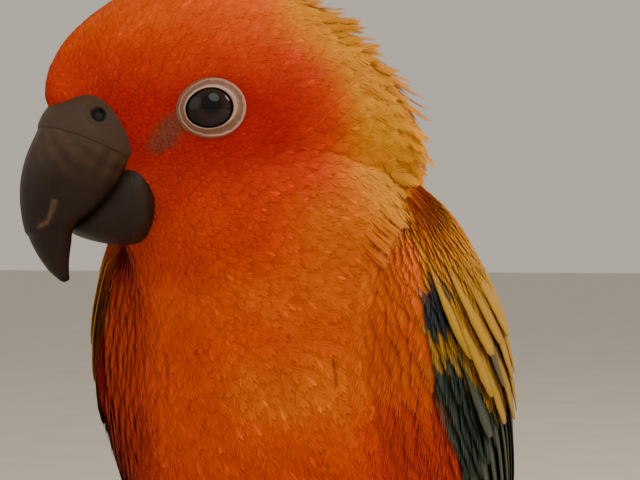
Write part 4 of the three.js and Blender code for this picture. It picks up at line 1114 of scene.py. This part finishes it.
def wing_arm(side_name, side):
    """The arm and hand under the coverts, closed, in the feathers' colours."""
    steps, across = 48, 24
    u = np.linspace(0.004, 0.62, steps)[:, None]
    deep = mix(5, 2, soft(u, 0.3, 0.62))
    round_end = np.sqrt(1 - (1 - np.minimum(u / 0.07 + 0.03, 1)) ** 2)
    j = np.linspace(-0.12, 0.96, across)[None]
    v = 0.5 + (j - 0.5) * round_end
    top = lapped(u + 0 * v, v, mix(-0.2, -1.5, soft(u, 0.28, 0.33)) + 0 * v, side)
    low = wing_at(u, v, -1.6 - deep + 0 * v, side)
    rings = np.concatenate([top, low[:, ::-1]], 1)
    if side < 0:
        rings = rings[:, ::-1]
    colour = wing_markings(side_name, side, np.broadcast_to(u, v.shape).ravel(), v.ravel())
    under = markings(low.reshape(-1, 3)).reshape(low.shape)
    paint = np.concatenate([colour.reshape(top.shape), under[:, ::-1]], 1)
    piece(f"wing_arm_{side_name}", rings, capped(steps, 2 * across), DOWN_SKIN,
          replaces=(f"wing_{side_name}",), paint=paint)


for side_name, side in SIDES.items():
    wing_arm(side_name, side)
    for seed, (tier_name, tier) in enumerate(FLIGHT_TIERS.items()):
        flight_feathers(side_name, side, tier_name, tier, 100 + seed + 20 * side)
    for seed, (tier_name, tier) in enumerate(COVERT_TIERS.items()):
        covert_feathers(side_name, side, tier_name, tier, 110 + seed + 20 * side)
    wing_coat(side_name, side)


# Where the turned neck folds over the left shoulder, its feathers end in pale separate tips
FOLD = np.array([(20.6, -7.5, 121.3), (20.9, -12.4, 120.8), (19.9, -17.1, 120), (19.1, -18.9, 119),
                 (18.7, -19.6, 117.8), (18.5, -19.9, 116.3), (18.2, -20.1, 114.9)])
FOLD_PALE = linear("#e08a3c")


def neck_fold():
    draw = np.random.default_rng(81)
    count = 44
    ends, outward = on_skin(along(FOLD, np.sort(draw.random(count))))
    down = lie(ends, outward)
    length = mix(3.5, 5.5, draw.random(count))
    roots = ends - down * length[:, None] + np.array([0, -0.12, 0.05]) * length[:, None]
    roots, root_out = on_skin(roots)
    t = STATIONS[:, :, None]
    high = mix(1.1, 1.9, draw.random((count, 1)))
    places = mix(roots, ends, t) + mix(root_out, outward, t) * mix(0.2, high, t)
    outs = np.broadcast_to(outward, places.shape)
    paints = markings(roots), blend(markings(ends), FOLD_PALE, mix(0.3, 0.7, draw.random(count)))
    barbed("neck_fold", places, outs, mix(0.25, 0.45, draw.random(count)), barb_pattern(6), draw, paints,
           unwrapped(ends, True), BODY_PLUMAGE, loose=1.3, turns=(0.6, 1.0))


neck_fold()


# Tail: six pairs, the middle ones longest and over the rest
TAIL_OLIVE = linear("#5f6a28")
TAIL_BLUE = linear("#2c4658")
TAIL_COVERT = linear("#b58e2a")


def tail_frame(s):
    at, after = along(TAIL_LINE, s), along(TAIL_LINE, np.minimum(s + 0.02, 1.0))
    before = along(TAIL_LINE, s - 0.02)
    fall = after - before
    out = unit(np.stack([0 * s, -fall[..., 1], fall[..., 0]], -1))
    return np.stack([0 * s, at[..., 0], at[..., 1]], -1), out


def tail_feathers():
    rows, cols = 30, 7
    draw = np.random.default_rng(31)
    t = np.linspace(0, 1, rows)
    paths, outs, halves, ends = [], [], [], []
    for pair in range(6):
        for side in (1, -1):
            s = t * TAIL_GRADE[pair]
            at, out = tail_frame(s)
            layer = (1 - side) / 2 if pair == 0 else pair + 1
            spread = side * (1.4 + 0 * s if pair == 0 else 4.3 + (pair - 1) * mix(0.5, 2.2, s))
            paths.append(at + out * (-layer * TAIL_LAYER) + np.stack([spread, 0 * s, 0 * s], -1))
            outs.append(out)
            halves.append(4.9 - 0.15 * pair)
            ends.append(TAIL_GRADE[pair])
    path, out, half = np.array(paths), np.array(outs), np.array(halves)
    path[..., 2] = np.maximum(path[..., 2], 0.35 + 0.05 * np.arange(12)[::-1, None])
    profile = contour(rows, 0.4, 0.45, 0.16)
    grid, rise, x = vane_grid(path, out, half, profile, np.zeros(path.shape[:2]), cols, draw, droop=0.06,
                              slant=0.5, jag=0.06)
    grid[..., 2] = np.maximum(grid[..., 2], 0.26)
    length = np.linalg.norm(np.diff(path, axis=1), axis=2).sum(1)
    blue = soft(t[None] * np.array(ends)[:, None], 0.5, 0.95)
    paint = mix(TAIL_OLIVE, TAIL_BLUE, blue[:, :, None, None] + 0 * x[..., None])
    roots_uv = np.stack([np.linspace(0.1, 0.9, 12), np.full(12, 0.1)], 1)
    feather_piece("tail_feathers", grid, x, length, paint, roots_uv, FLIGHT_PLUMAGE,
                  thick=FLIGHT_THICK, rise=rise, replaces=("tail",))


def tail_coverts(name, over, lines, count, seed):
    rows, cols = 12, 5
    draw = np.random.default_rng(seed)
    t = np.linspace(0, 1, rows)[None]
    k, line = np.meshgrid(np.linspace(-1, 1, count), np.arange(lines), indexing="ij")
    k, line = (k + 0.5 * (line % 2) / count).ravel(), line.ravel()
    start = 0.0 + 0.05 * line
    s = start[:, None] + t * (0.24 - 0.06 * np.abs(k) + 0.02 * draw.random(len(k)))[:, None]
    at, out = tail_frame(s)
    under = -7 * TAIL_LAYER
    above = mix(1.2, 2.4, soft(s, 0.2, 0)) + 0.6 * t
    lift = above if over > 0 else mix(-3.4, under - 0.4, np.minimum(2 * t, 1))
    spread = k[:, None] * mix(5.5, 7, s)
    path = at + out * (lift - 1.4 * over * (k**2)[:, None])[..., None] + np.stack([spread, 0 * s, 0 * s], -1)
    half = np.full(len(k), 3.4)
    profile = contour(rows, 0.6, 0.4, 0.2)
    grid, _, x = vane_grid(path, out * over, half, profile, 0 * s, cols, draw, jag=0.15)
    length = np.linalg.norm(np.diff(path, axis=1), axis=2).sum(1)
    base = np.tile(TAIL_COVERT if over > 0 else VENT, (len(k), 1))
    base = blend(base, TAIL_OLIVE, soft(s[:, -1], 0.2, 0.36))
    paint = (base * (1 + 0.14 * (draw.random((len(k), 1)) - 0.5)))[:, None, None] + 0 * grid
    feather_piece(name, grid, x, length, paint, np.stack([0.5 + 0.4 * k, 0.1 + s[:, 0]], 1), BODY_PLUMAGE)


tail_feathers()
tail_coverts("upper_tail_coverts", 1, 4, 7, 51)
tail_coverts("under_tail_coverts", -1, 4, 7, 52)


# Bill
def bill_section(s, angle, grow):
    """Points round the bill at its stations, in the head's frame, grown outward."""
    half_a, half_u = (s[..., 0] - s[..., 2]) / 2, (s[..., 1] - s[..., 3]) / 2
    reach = np.hypot(half_a, half_u)
    up = np.cos(angle)
    power = np.where(up < 0, EDGE_POWER, BACK_POWER)
    side = np.sign(np.sin(angle)) * np.abs(np.sin(angle)) ** power * (s[..., 4] + grow)
    k = up * (reach + grow) / reach
    middle_a, middle_u = (s[..., 0] + s[..., 2]) / 2, (s[..., 1] + s[..., 3]) / 2
    return np.stack([middle_a + half_a * k, side, middle_u + half_u * k], -1)


HORN_DARK = linear("#24140a")
HORN_BROWN = linear("#322010")
HORN_PALE = linear("#755a42")
CERE_SKIN = linear("#4a3524")
# Painted shade inside the nostrils
NOSTRIL_SHADE = linear("#0b0706")


def nostril_reach(h):
    """Distance from the nearer nostril's middle, in the head's side view."""
    far = np.linalg.norm(h * [1, 0, 1] - [NOSTRIL["ahead"], 0, NOSTRIL["up"]], axis=-1)
    return far + 9 * (np.abs(h[..., 1]) < 2.2)


# A pale scratch on the left side of the hook, ahead and up
SCRATCH = ((22.7, -6.0), (24.4, -8.6), (25.6, -8.9))


def bill_piece(name, stations, replaces):
    rows, cols = 90, 72
    t, angle = round_grid(rows, cols)
    chipped = -0.3 * soft(t, 0.6, 0.615) * soft(t, 0.95, 0.75) * np.maximum(np.cos(angle), 0)
    ragged = 0.12 * np.sin(23 * angle) * np.sin(31 * t) * soft(t, 0.86, 0.97)
    upper = name == "upper_bill"
    h = bill_section(along(stations, t), angle, chipped + ragged if upper else 0 * t)
    if upper:
        hole = nostril_reach(h)
        h = bill_section(along(stations, t), angle, chipped + ragged - 0.9 * soft(hole, 1.6, 0.9))
    a, l, u = h[..., 0], h[..., 1], h[..., 2]
    paint = blend(np.tile(HORN_DARK, (rows * cols, 1)), HORN_BROWN, soft(t, 0.55, 0.1).ravel())
    if upper:
        worn = soft(t, 0.4, 0.12) * (0.55 + 0.45 * np.sin(2.1 * l + 1.3 * u) * np.sin(1.7 * a + 1.7))
        paint = blend(paint, HORN_PALE, 0.42 * worn.ravel())
        scratch = np.minimum(from_segment(a, u, *SCRATCH[:2]), from_segment(a, u, *SCRATCH[1:]))
        paint = blend(paint, HORN_PALE, 0.6 * (soft(scratch, 0.4, 0.15) * (l > 0)).ravel())
    grain = np.stack([angle / (2 * math.pi) * 24, t * 30], -1)
    piece(name, from_head(h), capped(rows, cols), BILL_HORN, replaces=replaces, paint=paint,
          maps={"Grain": grain})


bill_piece("upper_bill", UPPER_BILL, ("upper_mandible",))
bill_piece("lower_bill", LOWER_BILL, ("lower_mandible",))


def cere_piece():
    """The soft band over the bill's root, with a raised rim round each nostril."""
    rows, cols = 40, 120
    k, angle = round_grid(rows, cols)
    swell = CERE_SOFT * np.sqrt(np.maximum(1 - k**4, 0))
    h = bill_section(along(UPPER_BILL, mix(CERE_START, CERE_END, k)), angle, swell)
    hole = nostril_reach(h)
    radius = NOSTRIL["radius"]
    dip = -1.05 * soft(hole, radius + 0.25, radius - 0.35)
    rim = 0.22 * soft(hole, radius + 0.9, radius + 0.25)
    h = bill_section(along(UPPER_BILL, mix(CERE_START, CERE_END, k)), angle, swell + dip + rim)
    paint = np.tile(CERE_SKIN, (rows * cols, 1))
    # Each nostril's dip is painted near black, as painted shade of the hole
    paint = blend(paint, NOSTRIL_SHADE, soft(hole, radius + 0.3, radius - 0.2).ravel())
    piece("cere_band", from_head(h), capped(rows, cols), SOFT_SKIN, replaces=("cere",),
          paint=paint)


cere_piece()

# Eyes: ball, lids and the ring of bare skin
LID_PALE = linear("#d6ad98")
RING_DARK = linear("#8c6351")
RING_PALE = linear("#d09f88")
LID_WET = linear("#1a100c")
# Lids and ring: distance from the eye's middle, and height over the head's surface
RING_PROFILE = [(2.45, -1.6), (2.64, -0.2), (2.76, 0.22), (2.88, 0.46), (3.06, 0.58), (3.26, 0.46),
                (3.42, 0.26), (3.58, 0.12), (3.74, 0.08), (3.88, 0.12), (4.0, 0.16), (4.12, 0.06),
                (4.22, -0.16), (4.32, -0.5), (4.4, -1.0), (4.5, -1.8)]


def eye_ring(side_name, side):
    """Lids with a pale rim, widest above and ahead, in a wrinkled ring of bare skin with a pale edge."""
    rows, cols = 64, 128
    draw = np.random.default_rng(61 + side)
    profile = along(np.array(RING_PROFILE), np.linspace(0, 1, rows))
    r, turn = np.meshgrid(profile[:, 0], np.linspace(0, 2 * math.pi, cols, endpoint=False), indexing="ij")
    h = np.broadcast_to(profile[:, 1][:, None], r.shape).copy()
    waves = sum(np.sin(m * turn + draw.random() * 6.3) * draw.random() for m in (5, 9, 14, 23, 31)) / 4
    bent = r + 0.1 * waves * soft(r, 3.0, 3.4)
    h += 0.06 * waves * soft(r, 2.7, 3.2) + 0.03 * np.sin(11 * bent) * soft(r, 3.2, 3.6) * soft(r, 4.5, 4.2)
    k = np.clip((r - OPENING) / (RING_EDGE - OPENING), 0, 1)
    long = r * np.cos(turn) * mix(LIDS_LONG, RING_LONG, k)
    high = r * np.sin(turn) * mix(LIDS_HIGH, 1, k)
    ahead = long * math.cos(RING_TILT) - high * math.sin(RING_TILT) + mix(LIDS_MIDDLE[0], RING_MIDDLE[0], k)
    up = long * math.sin(RING_TILT) + high * math.cos(RING_TILT) + mix(LIDS_MIDDLE[1], RING_MIDDLE[1], k)
    points = from_head(np.stack([ahead, side * (skin_side(ahead, up) + h), up], -1))
    # The lids lie on the eyeball, and only their hidden inner edge dips into it
    middle = eye_middle(side)
    from_ball = np.linalg.norm(points - middle, axis=-1)
    least = EYE_RADIUS + mix(-0.6, 0.22, soft(r, 2.5, 2.75))
    points = middle + (points - middle) * np.maximum(1, least / from_ball)[..., None]
    front = (0.5 + 0.5 * np.cos(turn - 0.9)).ravel()
    flat = bent.ravel()
    rim = mix(2.96, 3.22, front)
    paint = blend(np.tile(LID_PALE, (rows * cols, 1)), RING_DARK, soft(flat, rim, rim + 0.22))
    paint = blend(paint, RING_PALE, mix(0.95, 0.7, front) * soft(flat, 3.82, 3.9))
    paint = blend(paint, RING_DARK, soft(flat, 4.04, 4.14))
    paint = blend(paint, LID_WET, soft(r.ravel(), 2.78, 2.66))
    paint *= (1 + 0.14 * waves.ravel())[:, None]
    faces = grid_faces(1, rows, cols, closed=True)
    piece(f"eyelids_{side_name}", points, faces[:, ::-1] if side > 0 else faces, SOFT_SKIN,
          replaces=(f"eye_ring_{side_name}",), paint=paint)


def eyeball(side_name, side):
    rows, cols = 48, 64
    share, turn = round_grid(rows, cols)
    polar = share * math.pi
    bulge = 0.16 * soft(polar, 0.75, 0.25)
    radius = EYE_RADIUS - 0.04 + bulge
    out = unit(EYE_OUT * [1, side, 1])
    east = unit(np.cross([0, 0, 1], out))
    north = np.cross(out, east)
    local = (out * np.cos(polar)[..., None] + east * (np.sin(polar) * np.cos(turn))[..., None]
             + north * (np.sin(polar) * np.sin(turn))[..., None]) * radius[..., None]
    points = eye_middle(side) + local @ HEAD_AXES
    iris = np.stack([np.sin(polar) * np.cos(turn), np.sin(polar) * np.sin(turn)], -1) * EYE_RADIUS
    iris[polar > math.pi / 2] *= 3
    faces = grid_faces(1, rows, cols, closed=True)
    piece(f"eyeball_{side_name}", points, faces, WET_EYE, replaces=(f"eye_{side_name}",),
          maps={"Iris": iris})


for side_name, side in SIDES.items():
    eye_ring(side_name, side)
    eyeball(side_name, side)


# Feet: bare scaled shanks and toes, two forward and two back
FOOT_GREY = linear("#6f615a")
FOOT_PALE = linear("#94837a")


def toe_stations(toe, side):
    turn, length, _ = toe
    turn = math.radians(turn)
    ahead = np.array([side * math.sin(turn), -math.cos(turn), 0])
    joints, count = round(length / 5), 40
    made = []
    for t in np.linspace(0, 1, count):
        pad = 1 + PAD_SWELL * math.sin(t * joints * math.pi) ** 2
        r = mix(TOE_RADIUS, 1.35, t) * pad * (1 - 0.35 * soft(t, 0.93, 1.0))
        at = np.array([side * FOOT_APART, FOOT_AHEAD, 0]) + ahead * mix(0.4, length, t)
        made.append((at[0], at[1], r * 0.93 + 0.9 * (1 - t) ** 2, r))
    return np.array(made)


SCALE_GAP = 1.25  # length of a scale


def scaled(rings, stations, t):
    """Rings with raised bands of scales, and how far each point is up its scale, from 0 to 1."""
    middle = along(stations, t)[..., :3]
    run = np.linalg.norm(np.gradient(middle, axis=0), axis=-1).cumsum(0)
    band = np.abs(np.sin(math.pi * run / SCALE_GAP)) ** 0.4
    return middle + (rings - middle) * (0.94 + 0.07 * band)[..., None], band


def foot(side_name, side):
    points, faces, paint = [], [], []
    rows, cols = 110, 28
    t, angle = round_grid(rows, cols)
    limbs = [(sided(SHANK, side), True)] + [(toe_stations(toe, side), False) for toe in TOES]
    for stations, upright in limbs:
        rings, band = scaled(tube_rings(stations, t, angle, upright), stations, t)
        rings[..., 2] = np.maximum(rings[..., 2], 0.0)
        faces += capped(rows, cols, sum(len(p) for p in points))
        points.append(rings.reshape(-1, 3))
        paint.append(mix(FOOT_GREY * 0.7, FOOT_PALE, band.ravel()[:, None]))
    nodes = [f"shank_{side_name}"] + [f"toe_{side_name}_{i}" for i in range(1, 5)]
    piece(f"foot_{side_name}", np.concatenate(points), faces, FOOT_SKIN, replaces=nodes,
          paint=np.concatenate(paint))


def claws(side_name, side):
    points, faces = [], []
    rows, cols = 24, 16
    k, angle = round_grid(rows, cols)
    for turn, length, claw in TOES:
        turn = math.radians(turn)
        ahead = np.array([side * math.sin(turn), -math.cos(turn), 0])
        stations = []
        for t in np.linspace(0, 1, 12):
            reach = length - 1 + claw * math.sin(t * 1.35) * 0.95
            at = np.array([side * FOOT_APART, FOOT_AHEAD, 0]) + ahead * reach
            rise = 1.75 + 1.15 * math.sin(t * math.pi * 0.62) - 2.1 * t**2.2
            stations.append((at[0], at[1], max(rise, 0.36), mix(1.15, 0.3, t)))
        rings = tube_rings(np.array(stations), k, angle, False)
        rings[..., 2] = np.maximum(rings[..., 2], 0.0)
        faces += capped(rows, cols, sum(len(p) for p in points))
        points.append(rings.reshape(-1, 3))
    piece(f"claws_{side_name}", np.concatenate(points), faces, CLAW_HORN,
          replaces=[f"claw_{side_name}_{i}" for i in range(1, 5)])


for side_name, side in SIDES.items():
    foot(side_name, side)
    claws(side_name, side)


# Floor, light and camera
def studio():
    made, tree = new_material("pale_floor")
    grain = add(tree, "ShaderNodeTexNoise", Scale=30.0, Detail=4.0,
                Vector=add(tree, "ShaderNodeTexCoord").outputs["Object"]).outputs[0]
    colour = ramp(add(tree, "ShaderNodeValToRGB", Fac=grain), shades([(0.3, "#cfc8bd"), (0.7, "#d6cfc4")]))
    finish_material(tree, Base_Color=colour, Roughness=0.8)
    size = 6.0
    mesh = bpy.data.meshes.new("floor")
    corners = [(-size, -size, 0), (size, -size, 0), (size, size, 0), (-size, size, 0)]
    mesh.from_pydata(corners, [], [(0, 1, 2, 3)])
    mesh.materials.append(made)
    floor = bpy.data.objects.new("floor", mesh)
    bpy.context.collection.objects.link(floor)


def softbox(name, place, target, size, power, colour):
    lamp = bpy.data.lights.new(name, "AREA")
    lamp.shape = "DISK"
    lamp.size = size
    lamp.energy = power
    lamp.color = colour
    made = bpy.data.objects.new(name, lamp)
    made.location = place
    made.rotation_euler = (Vector(target) - Vector(place)).to_track_quat("-Z", "Y").to_euler()
    bpy.context.collection.objects.link(made)


studio()
MIDDLE = (0, -0.08, 0.11)
softbox("key", (0.5, -0.75, 0.85), MIDDLE, 0.8, 4.4, (1.0, 0.95, 0.87))
softbox("fill", (-0.7, -0.7, 0.35), MIDDLE, 0.8, 1.0, (1.0, 0.96, 0.9))
softbox("back", (0.75, 0.35, 0.65), MIDDLE, 0.5, 6.5, (1.0, 0.93, 0.8))
world = bpy.data.worlds.new("studio")
bpy.context.scene.world = world
world.use_nodes = True
world.node_tree.nodes["Background"].inputs[0].default_value = rgba("#f0e7d8")
world.node_tree.nodes["Background"].inputs[1].default_value = 0.62

# Camera: level, with the left eye at the photograph's place for it
AZIMUTH = math.radians(15)
RANGE = 250
PIXELS = 7  # to a millimetre at the eye
FRAME_WIDE, FRAME_HIGH = 640, 480
EYE_RIGHT, EYE_DOWN = 210, 108
SENSOR = 36
right = np.array([math.cos(AZIMUTH), math.sin(AZIMUTH), 0])
forward = np.array([-math.sin(AZIMUTH), math.cos(AZIMUTH), 0])
eye = eye_middle(1) + OFFSET
place = eye + right * (FRAME_WIDE / 2 - EYE_RIGHT) / PIXELS - forward * RANGE
place = place - np.array([0, 0, (FRAME_HIGH / 2 - EYE_DOWN) / PIXELS])
lens = bpy.data.cameras.new("camera")
lens.sensor_width = SENSOR
lens.lens = SENSOR * PIXELS * RANGE / FRAME_WIDE
lens.clip_start = 0.01
camera = bpy.data.objects.new("camera", lens)
camera.location = place / 1000
camera.rotation_euler = (math.pi / 2, 0, AZIMUTH)
bpy.context.collection.objects.link(camera)
bpy.context.scene.camera = camera
